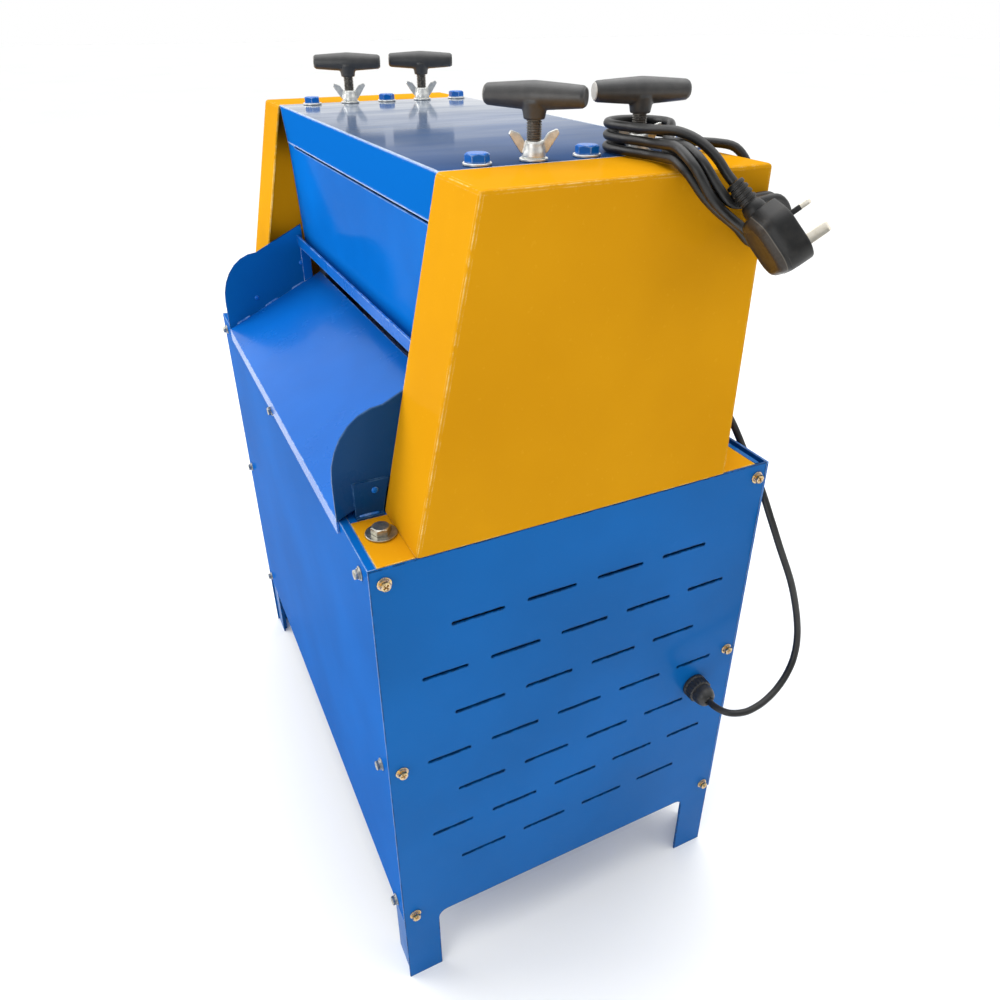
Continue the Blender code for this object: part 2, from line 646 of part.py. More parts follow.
def cabinet_frame():
    # Four angle posts, rails under the base plate and round the motor shelf, welded into one.
    outer_x = INNER_SIDE
    outer_front = FRONT_FACE + 2 * (SHEET + SEAT_GAP)
    outer_rear = REAR_FACE - SHEET - SEAT_GAP
    top = BASE_BOTTOM - SEAT_GAP
    shelf_low = SHELF_TOP - SHELF_THICKNESS
    pieces = []
    for side in (1, -1):
        web = sorted((side * outer_x, side * (outer_x - POST_WALL)))
        arm = sorted((side * (outer_x - WELD_LAP), side * (outer_x - POST_WIDTH)))
        for outer, inward in ((outer_front, 1), (outer_rear, -1)):
            long_side = sorted((outer, outer + inward * POST_WIDTH))
            short_side = sorted((outer, outer + inward * POST_WALL))
            pieces.append(box("post", web, long_side, (0, top)))
            pieces.append(box("post", arm, short_side, (0, top)))
        run = (outer_front + WELD_LAP, outer_rear - WELD_LAP)
        inset = sorted((side * (outer_x - WELD_LAP / 2), side * (outer_x - POST_WALL - WELD_LAP)))
        for high in (top - WELD_LAP, shelf_low + WELD_LAP):
            pieces.append(box("rail", inset, run, (high - RAIL_HEIGHT, high)))
    across = (-outer_x + WELD_LAP, outer_x - WELD_LAP)
    for outer, inward in ((outer_front, 1), (outer_rear, -1)):
        deep = sorted((outer + inward * WELD_LAP / 2, outer + inward * (POST_WALL + WELD_LAP)))
        for high in (top - WELD_LAP, shelf_low + WELD_LAP):
            pieces.append(box("rail", across, deep, (high - RAIL_HEIGHT, high)))
    # The rear rail's lip stands up behind the base plate.
    lip = (REAR_FACE - BASE_PLATE_REAR_INSET + SEAT_GAP, outer_rear - POST_WALL)
    pieces.append(box("lip", across, lip, (top - RAIL_HEIGHT / 2, BASE_TOP)))
    shelf_x = outer_x - POST_WALL / 2
    deep = (outer_front + POST_WALL / 2, outer_rear - POST_WALL / 2)
    shelf = box("cabinet_frame", (-shelf_x, shelf_x), deep, (shelf_low, SHELF_TOP))
    finish(joined(shelf, *pieces), BLUE_PAINT)


def chain_loop(radius, steps=10):
    # The outline at this distance from the triangle between the three sprocket axes.
    centres = [
        Vector((FRONT_AXIS_Y, LOWER_AXIS_Z)), Vector((DRIVE_AXIS_Y, DRIVE_AXIS_Z)),
        Vector((REAR_AXIS_Y, LOWER_AXIS_Z)),
    ]
    points = []
    for i, centre in enumerate(centres):
        before = centre - centres[i - 1]
        after = centres[(i + 1) % 3] - centre
        start = math.atan2(-before.x, before.y)
        end = math.atan2(-after.x, after.y)
        turn = (end - start) % (2 * math.pi)
        for step in range(steps + 1):
            angle = start + turn * step / steps
            points.append((centre.x + radius * math.cos(angle), centre.y + radius * math.sin(angle)))
    return points


def base_plate():
    front = FRONT_FACE + BASE_PLATE_FRONT_INSET
    rear = REAR_FACE - BASE_PLATE_REAR_INSET
    side = INNER_SIDE - BASE_PLATE_SIDE_GAP
    reach = SPROCKET_PITCH_RADIUS + CHAIN_OPENING_MARGIN
    opening_x = (CHAIN_X - CHAIN_OPENING_MARGIN, CHAIN_X + CHAIN_OPENING_MARGIN)
    opening = rectangle((opening_x[0], FRONT_AXIS_Y - reach), (opening_x[1], REAR_AXIS_Y + reach))
    holes = [circle(x, BASE_BOLT_Y, BASE_BOLT_RADIUS + SEAT_GAP, 12) for x in (-BASE_BOLT_X, BASE_BOLT_X)]
    loops = [rectangle((-side, front), (side, rear)), opening, *holes]
    plate = sheet("base_plate", loops, ALONG_Z, (0, 0, BASE_BOTTOM), BASE_PLATE_THICKNESS)
    finish(plate, YELLOW_PAINT)


# Head shells

def housing(name, side):
    # A folded cover, open below and towards its bearing frame.
    low = sorted((side * HOUSING_INNER, side * HOUSING_OUTER))
    shape = bmesh.new()
    bmesh.ops.create_cube(shape, size=1)
    lean = math.atan2(HOUSING_FRONT_TOP - HOUSING_FRONT_BOTTOM, HEAD_TOP - BASE_TOP)
    bottom = BASE_TOP + SEAT_GAP + SHEET * math.sin(lean)
    for vert in shape.verts:
        upper = vert.co.z > 0
        front = HOUSING_FRONT_TOP if upper else HOUSING_FRONT_BOTTOM
        vert.co = (
            low[1] if vert.co.x > 0 else low[0],
            HOUSING_REAR if vert.co.y > 0 else front,
            HEAD_TOP if upper else bottom,
        )
    shape.normal_update()
    open_faces = [f for f in shape.faces if f.normal.z < -0.9 or f.normal.x * side < -0.9]
    bmesh.ops.delete(shape, geom=open_faces, context="FACES")
    mesh = bpy.data.meshes.new(name)
    shape.to_mesh(mesh)
    shape.free()
    cover = added(name, mesh, ALONG_Z, (0, 0, 0))
    bevelled(cover, HOUSING_CORNER_RADIUS)
    wall = cover.modifiers.new("wall", "SOLIDIFY")
    wall.thickness = SHEET
    wall.offset = -1
    wall.use_even_offset = True
    finish(cover, YELLOW_PAINT)


def screw_places():
    return [(side * SCREW_X, y) for side in (1, -1) for y in (FRONT_AXIS_Y, REAR_AXIS_Y)]


def top_bolt_places():
    middle = (FRONT_AXIS_Y + REAR_AXIS_Y) / 2
    rows = (middle - TOP_BOLT_PITCH, middle, middle + TOP_BOLT_PITCH)
    return [(side * SCREW_X, y) for side in (1, -1) for y in rows]


def top_plate():
    t = TOP_PLATE_THICKNESS
    front_low = HEAD_TOP - TOP_FLANGE_DROP
    rear = FRAME_REAR + SHEET + 3 * SEAT_GAP
    rear_low = HEAD_TOP - TOP_REAR_FLANGE_DROP
    lip = TOP_FLANGE_BOTTOM_FRONT
    profile = [
        (TOP_FRONT, HEAD_TOP), (lip, front_low), (lip + SHEET, front_low), (TOP_FRONT + t, HEAD_TOP - t),
        (rear, HEAD_TOP - t), (rear, rear_low), (rear + SHEET, rear_low), (rear + SHEET, HEAD_TOP),
    ]
    plate = sheet("top_plate", [profile], ALONG_X, (-SHELL_EDGE, 0, 0), 2 * SHELL_EDGE)
    low = HEAD_TOP - t - CUT_OVERRUN
    deep = t + 2 * CUT_OVERRUN
    tools = []
    for x, y in screw_places():
        tools.append(cylinder("hole", ALONG_Z, (x, y, low), SCREW_RADIUS + SEAT_GAP, deep, 16))
    for x, y in top_bolt_places():
        tools.append(cylinder("hole", ALONG_Z, (x, y, low), TOP_BOLT_RADIUS + SEAT_GAP, deep, 12))
    finish(cut(plate, *tools), BLUE_PAINT)


def hood_front(z):
    share = (HOOD_TOP - z) / (HOOD_TOP - HOOD_BOTTOM)
    return HOOD_TOP_FRONT + (HOOD_BOTTOM_FRONT - HOOD_TOP_FRONT) * share


def front_hood():
    # The lower front sheet of the head, leaning back, with a slit below the top plate's flange.
    lean = math.atan2(HOOD_BOTTOM_FRONT - HOOD_TOP_FRONT, HOOD_TOP - HOOD_BOTTOM)
    drop = (HOOD_TOP - HOOD_BOTTOM) / math.cos(lean)
    inner = HOOD_EDGE - HOOD_TAB
    corners = [
        (-HOOD_EDGE, -drop), (HOOD_EDGE, -drop), (HOOD_EDGE, 0), (inner, 0),
        (inner, -HOOD_SLIT), (-inner, -HOOD_SLIT), (-inner, 0), (-HOOD_EDGE, 0),
    ]
    outline = rounded(corners, [HOOD_CORNER_RADIUS, HOOD_CORNER_RADIUS, 0, 0, 0, 0, 0, 0])
    turn = Matrix.Rotation(lean, 4, "X") @ ALONG_Y
    hood = sheet("front_hood", [outline], turn, (0, HOOD_TOP_FRONT + SHEET, HOOD_TOP), SHEET)
    folds = []
    low = HOOD_BOTTOM + HOOD_CORNER_RADIUS
    high = HOOD_TOP - 2 * HOOD_SLIT
    rear = FRAME_FRONT - SEAT_GAP
    for side in (1, -1):
        fold = [
            (hood_front(low) + SHEET / 2, low), (rear, low), (rear, high),
            (hood_front(high) + SHEET / 2, high),
        ]
        start = HOOD_EDGE - WELD_LAP - SHEET if side > 0 else WELD_LAP - HOOD_EDGE
        folds.append(sheet("fold", [fold], ALONG_X, (start, 0, 0), SHEET))
    finish(joined(hood, *folds), BLUE_PAINT)


def rear_hood():
    low = FRAME_REAR + SEAT_GAP
    high = (REAR_OUTLET_TOP, FRAME_TOP)
    finish(box("rear_hood", (-HOOD_EDGE, HOOD_EDGE), (low, low + SHEET), high), BLUE_PAINT)


def tray_height(y):
    # Top face of the feed tray.
    share = (y - TRAY_FRONT_Y) / (TRAY_REAR_Y - TRAY_FRONT_Y)
    return TRAY_FRONT_Z + (TRAY_REAR_Z - TRAY_FRONT_Z) * share


def feed_tray():
    # A sloping sheet with a lip folded down at its front and another at its rear.
    front, rear = TRAY_FRONT_Y, TRAY_REAR_Y
    front_low = TRAY_FRONT_Z - TRAY_LIP
    rear_low = TRAY_REAR_Z - TRAY_REAR_LIP
    slope = (TRAY_REAR_Z - TRAY_FRONT_Z) / (rear - front)
    under = SHEET * math.sqrt(1 + slope * slope)
    front_fold, rear_fold = front + SHEET, rear - SHEET
    profile = [
        (front, TRAY_FRONT_Z), (front, front_low), (front_fold, front_low),
        (front_fold, tray_height(front_fold) - under), (rear_fold, tray_height(rear_fold) - under),
        (rear_fold, rear_low), (rear, rear_low), (rear, TRAY_REAR_Z),
    ]
    tray = sheet("feed_tray", [profile], ALONG_X, (-TRAY_EDGE, 0, 0), 2 * TRAY_EDGE)
    finish(tray, BLUE_PAINT)


def tray_guard(name, side):
    # The cheek at one end of the tray, with a round nose and a bracket down to the base plate.
    nose = arc_between((GUARD_KNEE_Y, GUARD_KNEE_TOP), (TRAY_FRONT_Y, GUARD_NOSE_BOTTOM))
    outline = [
        (TRAY_FRONT_Y, TRAY_FRONT_Z - SHEET), (GUARD_REAR_Y, tray_height(GUARD_REAR_Y) - SHEET),
        (GUARD_REAR_Y, GUARD_REAR_TOP), *nose,
    ]
    low = SHELL_EDGE - SHEET if side > 0 else -SHELL_EDGE
    guard = sheet(name, [outline], ALONG_X, (low, 0, 0), SHEET)
    floor = BASE_TOP + SEAT_GAP
    top = floor + GUARD_BRACKET_HEIGHT
    web = [
        (GUARD_BRACKET_FRONT, floor), (GUARD_BRACKET_REAR_FOOT, floor),
        (GUARD_BRACKET_REAR_TOP, top), (GUARD_BRACKET_FRONT, top),
    ]
    start, end = sorted((side * (SHELL_EDGE - SHEET / 2), side * (SHELL_EDGE + SHEET)))
    plate = sheet("bracket", [web], ALONG_X, (start, 0, 0), end - start)
    foot_x = sorted((side * (SHELL_EDGE + SHEET / 2), side * (SHELL_EDGE + GUARD_BRACKET_FOOT)))
    foot = box("foot", foot_x, (GUARD_BRACKET_FRONT, GUARD_BRACKET_REAR_FOOT), (floor, floor + SHEET))
    finish(joined(guard, plate, foot), BLUE_PAINT)


def arc_between(start, end, steps=7):
    # A quarter of an ellipse that leaves start level and reaches end upright.
    across = end[0] - start[0]
    down = start[1] - end[1]
    points = []
    for step in range(steps + 1):
        angle = math.pi / 2 * step / steps
        points.append((start[0] + across * math.sin(angle), end[1] + down * math.cos(angle)))
    return points


def feed_guide_bar():
    # The angle across the mouth, on a post at each end, with its flange running back to the frames.
    rear = FRAME_FRONT - SEAT_GAP
    wall = BAR_WALL
    profile = [
        (BAR_FRONT, BAR_TOP), (BAR_FRONT, BAR_BOTTOM), (rear, BAR_BOTTOM),
        (rear, BAR_BOTTOM + wall), (BAR_FRONT + wall, BAR_BOTTOM + wall), (BAR_FRONT + wall, BAR_TOP),
    ]
    edge = HOOD_EDGE - SEAT_GAP
    bar = sheet("feed_guide_bar", [profile], ALONG_X, (-edge, 0, 0), 2 * edge)
    front = BAR_FRONT + wall
    back = front + BAR_POST_DEPTH
    lift = SEAT_GAP
    post = [
        (front, tray_height(front) + lift), (back, tray_height(back) + lift),
        (back, BAR_BOTTOM + wall / 2), (front, BAR_BOTTOM + wall / 2),
    ]
    posts = []
    for start in (-edge, edge - BAR_POST_THICKNESS):
        posts.append(sheet("post", [post], ALONG_X, (start, 0, 0), BAR_POST_THICKNESS))
    finish(joined(bar, *posts), BLUE_PAINT)


# Bearing frames, carriages and rollers

def bearing_frame(name, side):
    outline = rectangle((FRAME_FRONT, FRAME_BOTTOM), (FRAME_REAR, FRAME_TOP))
    holes = []
    half = BLOCK_WIDTH / 2
    for y in (FRONT_AXIS_Y, REAR_AXIS_Y):
        holes.append(rectangle((y - half, WINDOW_BOTTOM), (y + half, WINDOW_TOP)))
        holes.append(circle(y, LOWER_AXIS_Z, JOURNAL_RADIUS + RUNNING_GAP, 20))
    low = FRAME_INNER if side > 0 else -FRAME_OUTER
    frame = sheet(name, [outline, *holes], ALONG_X, (low, 0, 0), FRAME_THICKNESS)
    tools = []
    for y in (FRONT_AXIS_Y, REAR_AXIS_Y):
        place = (side * SCREW_X, y, WINDOW_TOP - CUT_OVERRUN)
        deep = FRAME_TOP - WINDOW_TOP + 2 * CUT_OVERRUN
        tools.append(cylinder("bore", ALONG_Z, place, SCREW_RADIUS + SEAT_GAP, deep, 16))
    depth = TOP_BOLT_LENGTH + SEAT_GAP
    for x, y in top_bolt_places():
        if x * side > 0:
            place = (x, y, HEAD_TOP - depth)
            tools.append(cylinder("bore", ALONG_Z, place, TOP_BOLT_RADIUS + SEAT_GAP, depth, 12))
    finish(cut(frame, *tools), CAST_IRON)


def bearing_block(name, side, y):
    half = BLOCK_WIDTH / 2 - SEAT_GAP
    low = UPPER_AXIS_Z - BLOCK_HEIGHT / 2
    outline = rectangle((-half, low - UPPER_AXIS_Z), (half, BLOCK_TOP - UPPER_AXIS_Z))
    bore = circle(0, 0, JOURNAL_RADIUS + RUNNING_GAP, 20)
    start = side * SCREW_X - BLOCK_THICKNESS / 2
    block = sheet(name, [outline, bore], ALONG_X, (start, y, UPPER_AXIS_Z), BLOCK_THICKNESS)
    socket = cylinder(
        "socket", ALONG_Z, (side * SCREW_X, y, BLOCK_TOP - SOCKET_DEPTH),
        SCREW_RADIUS + SEAT_GAP, SOCKET_DEPTH + CUT_OVERRUN, 16,
    )
    return finish(cut(block, socket), CAST_IRON)


def roller(name, y, z, body_radius, left_end, right_end, look):
    # Turned in one with its journals, about an axis along X.
    chamfer = ROLLER_END_GAP / 2
    profile = [
        (0, right_end), (JOURNAL_RADIUS, right_end), (JOURNAL_RADIUS, ROLLER_END),
        (body_radius - chamfer, ROLLER_END), (body_radius, ROLLER_END - chamfer),
        (body_radius, -ROLLER_END + chamfer), (body_radius - chamfer, -ROLLER_END),
        (JOURNAL_RADIUS, -ROLLER_END), (JOURNAL_RADIUS, left_end), (0, left_end),
    ]
    return finish(turned(name, profile, ALONG_X, (0, y, z), 24), look)


def blade(name, x, y, z):
    # A ring with a hub and a double-bevelled cutting edge.
    half = BLADE_WIDTH / 2
    edge = BLADE_EDGE / 2
    bore = BLADE_SHAFT_RADIUS + SEAT_GAP
    profile = [
        (bore, half), (BLADE_HUB_RADIUS, half), (UPPER_ROLLER_RADIUS, edge),
        (UPPER_ROLLER_RADIUS, -edge), (BLADE_HUB_RADIUS, -half), (bore, -half),
    ]
    return finish(turned(name, profile, ALONG_X, (x, y, z), 24, ring=True), GROUND_STEEL)


def sprocket(name, y, z, bore):
    outer = SPROCKET_PITCH_RADIUS - CHAIN_HEIGHT / 2 - 2 * RUNNING_GAP
    foot = outer - SPROCKET_TOOTH
    corners = (
        (-TOOTH_FOOT_SHARE, foot), (-TOOTH_TIP_SHARE, outer),
        (TOOTH_TIP_SHARE, outer), (TOOTH_FOOT_SHARE, foot),
    )
    points = []
    for tooth in range(SPROCKET_TEETH):
        for share, radius in corners:
            angle = 2 * math.pi * (tooth + share) / SPROCKET_TEETH
            points.append((radius * math.cos(angle), radius * math.sin(angle)))
    loops = [points]
    if bore:
        loops.append(circle(0, 0, bore, 24))
    place = (CHAIN_X - SPROCKET_WIDTH / 2, y, z)
    return sheet(name, loops, ALONG_X, place, SPROCKET_WIDTH)


def t_grip(name, x, y, yaw):
    # A moulded tapered bar on a boss, bored for the screw.
    half = GRIP_LENGTH / 2
    end = GRIP_END_RADIUS
    profile = [
        (0, half - GRIP_RIM / 2), (end - GRIP_RIM, half), (end, half - GRIP_RIM), (GRIP_MIDDLE_RADIUS, 0),
        (end, GRIP_RIM - half), (end - GRIP_RIM, -half), (0, GRIP_RIM / 2 - half),
    ]
    turn = Matrix.Rotation(yaw, 4, "Z") @ Matrix.Rotation(math.pi / 2, 4, "Y")
    bar = turned(name, profile, turn, (x, y, GRIP_AXIS_Z), 16)
    grip = solid_copy(bar)
    place = (x, y, BOSS_BOTTOM_Z)
    boss = cylinder("boss", ALONG_Z, place, BOSS_BOTTOM_RADIUS, BOSS_DEPTH, 16, BOSS_TOP_RADIUS)
    joined(grip, boss)
    place = (x, y, BOSS_BOTTOM_Z - CUT_OVERRUN)
    bore = cylinder("bore", ALONG_Z, place, SCREW_RADIUS + SEAT_GAP, GRIP_BORE_DEPTH + CUT_OVERRUN, 16)
    return finish(cut(grip, bore), BLACK_PLASTIC)


def adjusting_screw(name, x, y):
    low = BLOCK_TOP - SOCKET_DEPTH + SEAT_GAP
    high = BOSS_BOTTOM_Z + GRIP_BORE_DEPTH - SEAT_GAP
    tip = SCREW_RADIUS / 4
    profile = [
        (0, high), (SCREW_RADIUS - tip, high), (SCREW_RADIUS, high - tip),
        (SCREW_RADIUS, low + tip), (SCREW_RADIUS - tip, low), (0, low),
    ]
    profile = [(radius, height - GRIP_AXIS_Z) for radius, height in profile]
    return finish(turned(name, profile, ALONG_Z, (x, y, GRIP_AXIS_Z), 16), BLACK_STEEL)


def wing_nut(name, x, y):
    # The nut and its washer in one, bored for the screw.
    seat = HEAD_TOP + SEAT_GAP
    base = seat + WASHER_THICKNESS
    place = (x, y, base)
    hub = cylinder(name, ALONG_Z, place, WING_HUB_BOTTOM_RADIUS, WING_HUB_HEIGHT, 16, WING_HUB_TOP_RADIUS)
    root = WING_HUB_TOP_RADIUS - WING_THICKNESS / 2
    half = WING_THICKNESS / 2
    tools = []
    for side in (1, -1):
        wing = [
            (side * root, SEAT_GAP), (side * (WING_HUB_BOTTOM_RADIUS + half), half),
            (side * WING_REACH, WING_TOP - half), (side * (WING_REACH - half), WING_TOP),
            (side * (WING_REACH - WING_WIDTH), WING_TOP - WING_THICKNESS),
            (side * root, WING_HUB_HEIGHT - half),
        ]
        if side < 0:
            wing.reverse()
        turn = Matrix.Rotation(WING_YAW, 4, "Z") @ ALONG_Y
        shift = turn.to_3x3() @ Vector((0, 0, -half))
        tools.append(sheet("wing", [wing], turn, Vector(place) + shift, WING_THICKNESS))
    washer_high = WASHER_THICKNESS + SEAT_GAP
    tools.append(cylinder("washer", ALONG_Z, (x, y, seat), TOP_WASHER_RADIUS, washer_high, 20))
    joined(hub, *tools)
    place = (x, y, base - CUT_OVERRUN)
    bore = cylinder("bore", ALONG_Z, place, SCREW_RADIUS + SEAT_GAP, WING_HUB_HEIGHT + 2 * CUT_OVERRUN, 16)
    return finish(cut(hub, bore), BRIGHT_ZINC)


def hex_bolt(name, x, y, seat, head_radius, head_height, washer_radius, radius, length, look):
    # Head, washer face and shank in one, from the top down.
    base = seat + SEAT_GAP
    washer = cylinder(name, ALONG_Z, (x, y, base), washer_radius, WASHER_THICKNESS, 20)
    lap = WASHER_THICKNESS / 2
    head = cylinder("head", ALONG_Z, (x, y, base + lap), head_radius, head_height + lap, 6)
    shank = cylinder("shank", ALONG_Z, (x, y, seat - length + SEAT_GAP), radius, length + lap, 12)
    return finish(joined(washer, head, shank), look)


def head():
    for name, side in (("right", 1), ("left", -1)):
        housing(name + "_housing", side)
        bearing_frame(name + "_bearing_frame", side)
        tray_guard(name + "_tray_guard", side)
    top_plate()
    front_hood()
    rear_hood()
    feed_tray()
    feed_guide_bar()
    rows = ("front", "middle", "rear")
    for i, (x, y) in enumerate(top_bolt_places()):
        name = f"{'right' if x > 0 else 'left'}_{rows[i % 3]}_top_bolt"
        hex_bolt(
            name, x, y, HEAD_TOP, TOP_BOLT_HEAD_RADIUS, TOP_BOLT_HEAD_HEIGHT,
            TOP_WASHER_RADIUS, TOP_BOLT_RADIUS, TOP_BOLT_LENGTH, BLUE_PAINT,
        )
    for name, x in (("right_base_bolt", BASE_BOLT_X), ("left_base_bolt", -BASE_BOLT_X)):
        hex_bolt(
            name, x, BASE_BOLT_Y, BASE_TOP, BASE_BOLT_HEAD_RADIUS, BASE_BOLT_HEAD_HEIGHT,
            BASE_WASHER_RADIUS, BASE_BOLT_RADIUS, BASE_BOLT_LENGTH, BRIGHT_ZINC,
        )


def rollers():
    yaws = {
        "front_right": FRONT_RIGHT_GRIP_YAW, "front_left": FRONT_LEFT_GRIP_YAW,
        "rear_right": REAR_RIGHT_GRIP_YAW, "rear_left": REAR_LEFT_GRIP_YAW,
    }
    for row, y in (("front", FRONT_AXIS_Y), ("rear", REAR_AXIS_Y)):
        carriage = joint_empty(f"{row}_carriage_axis", (0, y, UPPER_AXIS_Z))
        lower = joint_empty(f"{row}_lower_axis", (0, y, LOWER_AXIS_Z))
        low_roller = roller(
            f"{row}_lower_roller", y, LOWER_AXIS_Z, LOWER_ROLLER_RADIUS,
            SHAFT_END_LEFT, SHAFT_END_RIGHT, GROUND_STEEL,
        )
        driven = sprocket(f"{row}_sprocket", y, LOWER_AXIS_Z, JOURNAL_RADIUS + SEAT_GAP)
        carried_by(lower, low_roller, finish(driven, BLACK_STEEL))
        for name, side in (("right", 1), ("left", -1)):
            place = f"{row}_{name}"
            x = side * SCREW_X
            block = bearing_block(place + "_bearing_block", side, y)
            axis = joint_empty(place + "_screw_axis", (x, y, GRIP_AXIS_Z))
            screw = adjusting_screw(place + "_adjusting_screw", x, y)
            grip = t_grip(place + "_t_grip", x, y, yaws[place])
            carried_by(axis, screw, grip)
            carried_by(carriage, block)
            wing_nut(place + "_wing_nut", x, y)
    shaft = roller(
        "blade_shaft", FRONT_AXIS_Y, UPPER_AXIS_Z, BLADE_SHAFT_RADIUS,
        -SHAFT_END_RIGHT, SHAFT_END_RIGHT, GROUND_STEEL,
    )
    spin = joint_empty("blade_axis", (0, FRONT_AXIS_Y, UPPER_AXIS_Z))
    carried_by(
        spin, shaft,
        blade("right_blade", BLADE_SPREAD, FRONT_AXIS_Y, UPPER_AXIS_Z),
        blade("left_blade", -BLADE_SPREAD, FRONT_AXIS_Y, UPPER_AXIS_Z),
    )
    press = roller(
        "rear_upper_roller", REAR_AXIS_Y, UPPER_AXIS_Z, UPPER_ROLLER_RADIUS,
        -SHAFT_END_RIGHT, SHAFT_END_RIGHT, GROUND_STEEL,
    )
    carried_by(joint_empty("press_axis", (0, REAR_AXIS_Y, UPPER_AXIS_Z)), press)


# Drive

def drive():
    radius = SPROCKET_PITCH_RADIUS
    half = CHAIN_HEIGHT / 2
    loops = [chain_loop(radius + half), chain_loop(radius - half)]
    chain = sheet("drive_chain", loops, ALONG_X, (CHAIN_X - CHAIN_WIDTH / 2, 0, 0), CHAIN_WIDTH)
    finish(chain, BLACK_STEEL)

    seat = GEARBOX_LEFT + DRIVE_SHAFT_SEAT
    disc = sprocket("drive_sprocket", DRIVE_AXIS_Y, DRIVE_AXIS_Z, 0)
    start = CHAIN_X - SPROCKET_WIDTH
    place = (start, DRIVE_AXIS_Y, DRIVE_AXIS_Z)
    shaft = cylinder("shaft", ALONG_X, place, JOURNAL_RADIUS, seat - RUNNING_GAP - start, 20)
    driver = finish(joined(disc, shaft), BLACK_STEEL)
    carried_by(joint_empty("drive_axis", (CHAIN_X, DRIVE_AXIS_Y, DRIVE_AXIS_Z)), driver)

    floor = SHELF_TOP + SEAT_GAP
    right = GEARBOX_LEFT + GEARBOX_LENGTH
    deep = (DRIVE_AXIS_Y - GEARBOX_DEPTH / 2, DRIVE_AXIS_Y + GEARBOX_DEPTH / 2)
    gearbox = box("gearbox", (GEARBOX_LEFT, right), deep, (floor, GEARBOX_TOP))
    bevelled(gearbox, GEARBOX_EDGE, 1)
    place = (GEARBOX_LEFT - CUT_OVERRUN, DRIVE_AXIS_Y, DRIVE_AXIS_Z)
    depth = DRIVE_SHAFT_SEAT + CUT_OVERRUN
    bore = cylinder("bore", ALONG_X, place, JOURNAL_RADIUS + RUNNING_GAP, depth, 20)
    finish(cut(gearbox, bore), GREY_PAINT)

    left = right + SEAT_GAP
    end = left + MOTOR_LENGTH
    step = MOTOR_STEP
    cowl = end - MOTOR_COWL_LENGTH
    flange = left + MOTOR_FLANGE_LENGTH
    profile = [
        (0, end), (MOTOR_RADIUS - 2 * step, end), (MOTOR_RADIUS, end - 2 * step),
        (MOTOR_RADIUS, cowl), (MOTOR_RADIUS - step, cowl), (MOTOR_RADIUS - step, flange),
        (MOTOR_RADIUS, flange), (MOTOR_RADIUS, left), (0, left),
    ]
    motor = solid_copy(turned("motor", profile, ALONG_X, (0, DRIVE_AXIS_Y, DRIVE_AXIS_Z), 24))
    middle = (left + end) / 2
    foot_x = (middle - MOTOR_FOOT_LENGTH / 2, middle + MOTOR_FOOT_LENGTH / 2)
    foot_y = (DRIVE_AXIS_Y - MOTOR_FOOT_WIDTH / 2, DRIVE_AXIS_Y + MOTOR_FOOT_WIDTH / 2)
    foot = box("foot", foot_x, foot_y, (floor, DRIVE_AXIS_Z - MOTOR_RADIUS + MOTOR_FOOT_HEIGHT))
    half = TERMINAL_BOX / 2
    top = DRIVE_AXIS_Z + MOTOR_RADIUS + TERMINAL_BOX_RISE
    terminals = box(
        "terminals", (middle - half, middle + half), (DRIVE_AXIS_Y - half, DRIVE_AXIS_Y + half),
        (top - TERMINAL_BOX_HEIGHT, top),
    )
    finish(joined(motor, foot, terminals), GREY_PAINT)


# Switch

def switch():
    seat = -SIDE_FACE - SEAT_GAP
    face = seat - SWITCH_DEPTH
    deep = (SWITCH_Y - SWITCH_WIDTH / 2, SWITCH_Y + SWITCH_WIDTH / 2)
    high = (SWITCH_Z - SWITCH_HEIGHT / 2, SWITCH_Z + SWITCH_HEIGHT / 2)
    case = box("switch_box", (face, seat), deep, high)
    bevelled(case, SWITCH_EDGE, 1)
    tools = []
    depth = BUTTON_SEAT + BUTTON_TRAVEL + RUNNING_GAP + CUT_OVERRUN
    length = BUTTON_PROUD + BUTTON_SEAT
    half = BUTTON_PITCH / 2
    for name, rise, look in (("start_button", half, GREEN_PLASTIC), ("stop_button", -half, RED_PLASTIC)):
        z = SWITCH_Z + rise
        place = (face - CUT_OVERRUN, SWITCH_Y, z)
        tools.append(cylinder("bore", ALONG_X, place, BUTTON_RADIUS + RUNNING_GAP, depth, 20))
        profile = [
            (0, length), (BUTTON_RADIUS, length), (BUTTON_RADIUS, BUTTON_RIM),
            (BUTTON_RADIUS - BUTTON_RIM, 0), (0, 0),
        ]
        button = turned(name, profile, ALONG_X, (face - BUTTON_PROUD, SWITCH_Y, z), 20)
        finish(button, look)
    finish(cut(case, *tools), BLACK_PLASTIC)


# Gland, cord and plug

def cable_gland():
    panel_in = SIDE_FACE - SHEET - SEAT_GAP
    panel_out = SIDE_FACE + SEAT_GAP
    nut_end = panel_out + GLAND_NUT_LENGTH
    locknut_end = panel_in - GLAND_LOCKNUT_LENGTH
    inner_end = panel_in - GLAND_SHANK_LENGTH
    shoulder = GLAND_NUT_RADIUS - GLAND_DOME_RADIUS
    profile = [
        (0, GLAND_END), (GLAND_TIP_RADIUS, GLAND_END),
        (GLAND_DOME_RADIUS - shoulder, GLAND_END - GLAND_TIP_LENGTH / 2),
        (GLAND_DOME_RADIUS, GLAND_END - GLAND_TIP_LENGTH), (GLAND_DOME_RADIUS, nut_end),
        (GLAND_NUT_RADIUS, nut_end), (GLAND_NUT_RADIUS, panel_out), (GLAND_SHANK_RADIUS, panel_out),
        (GLAND_SHANK_RADIUS, panel_in), (GLAND_NUT_RADIUS, panel_in), (GLAND_NUT_RADIUS, locknut_end),
        (GLAND_SHANK_RADIUS, locknut_end), (GLAND_SHANK_RADIUS, inner_end), (0, inner_end),
    ]
    finish(turned("cable_gland", profile, ALONG_X, (0, GLAND_Y, GLAND_Z), 12), BLACK_PLASTIC)


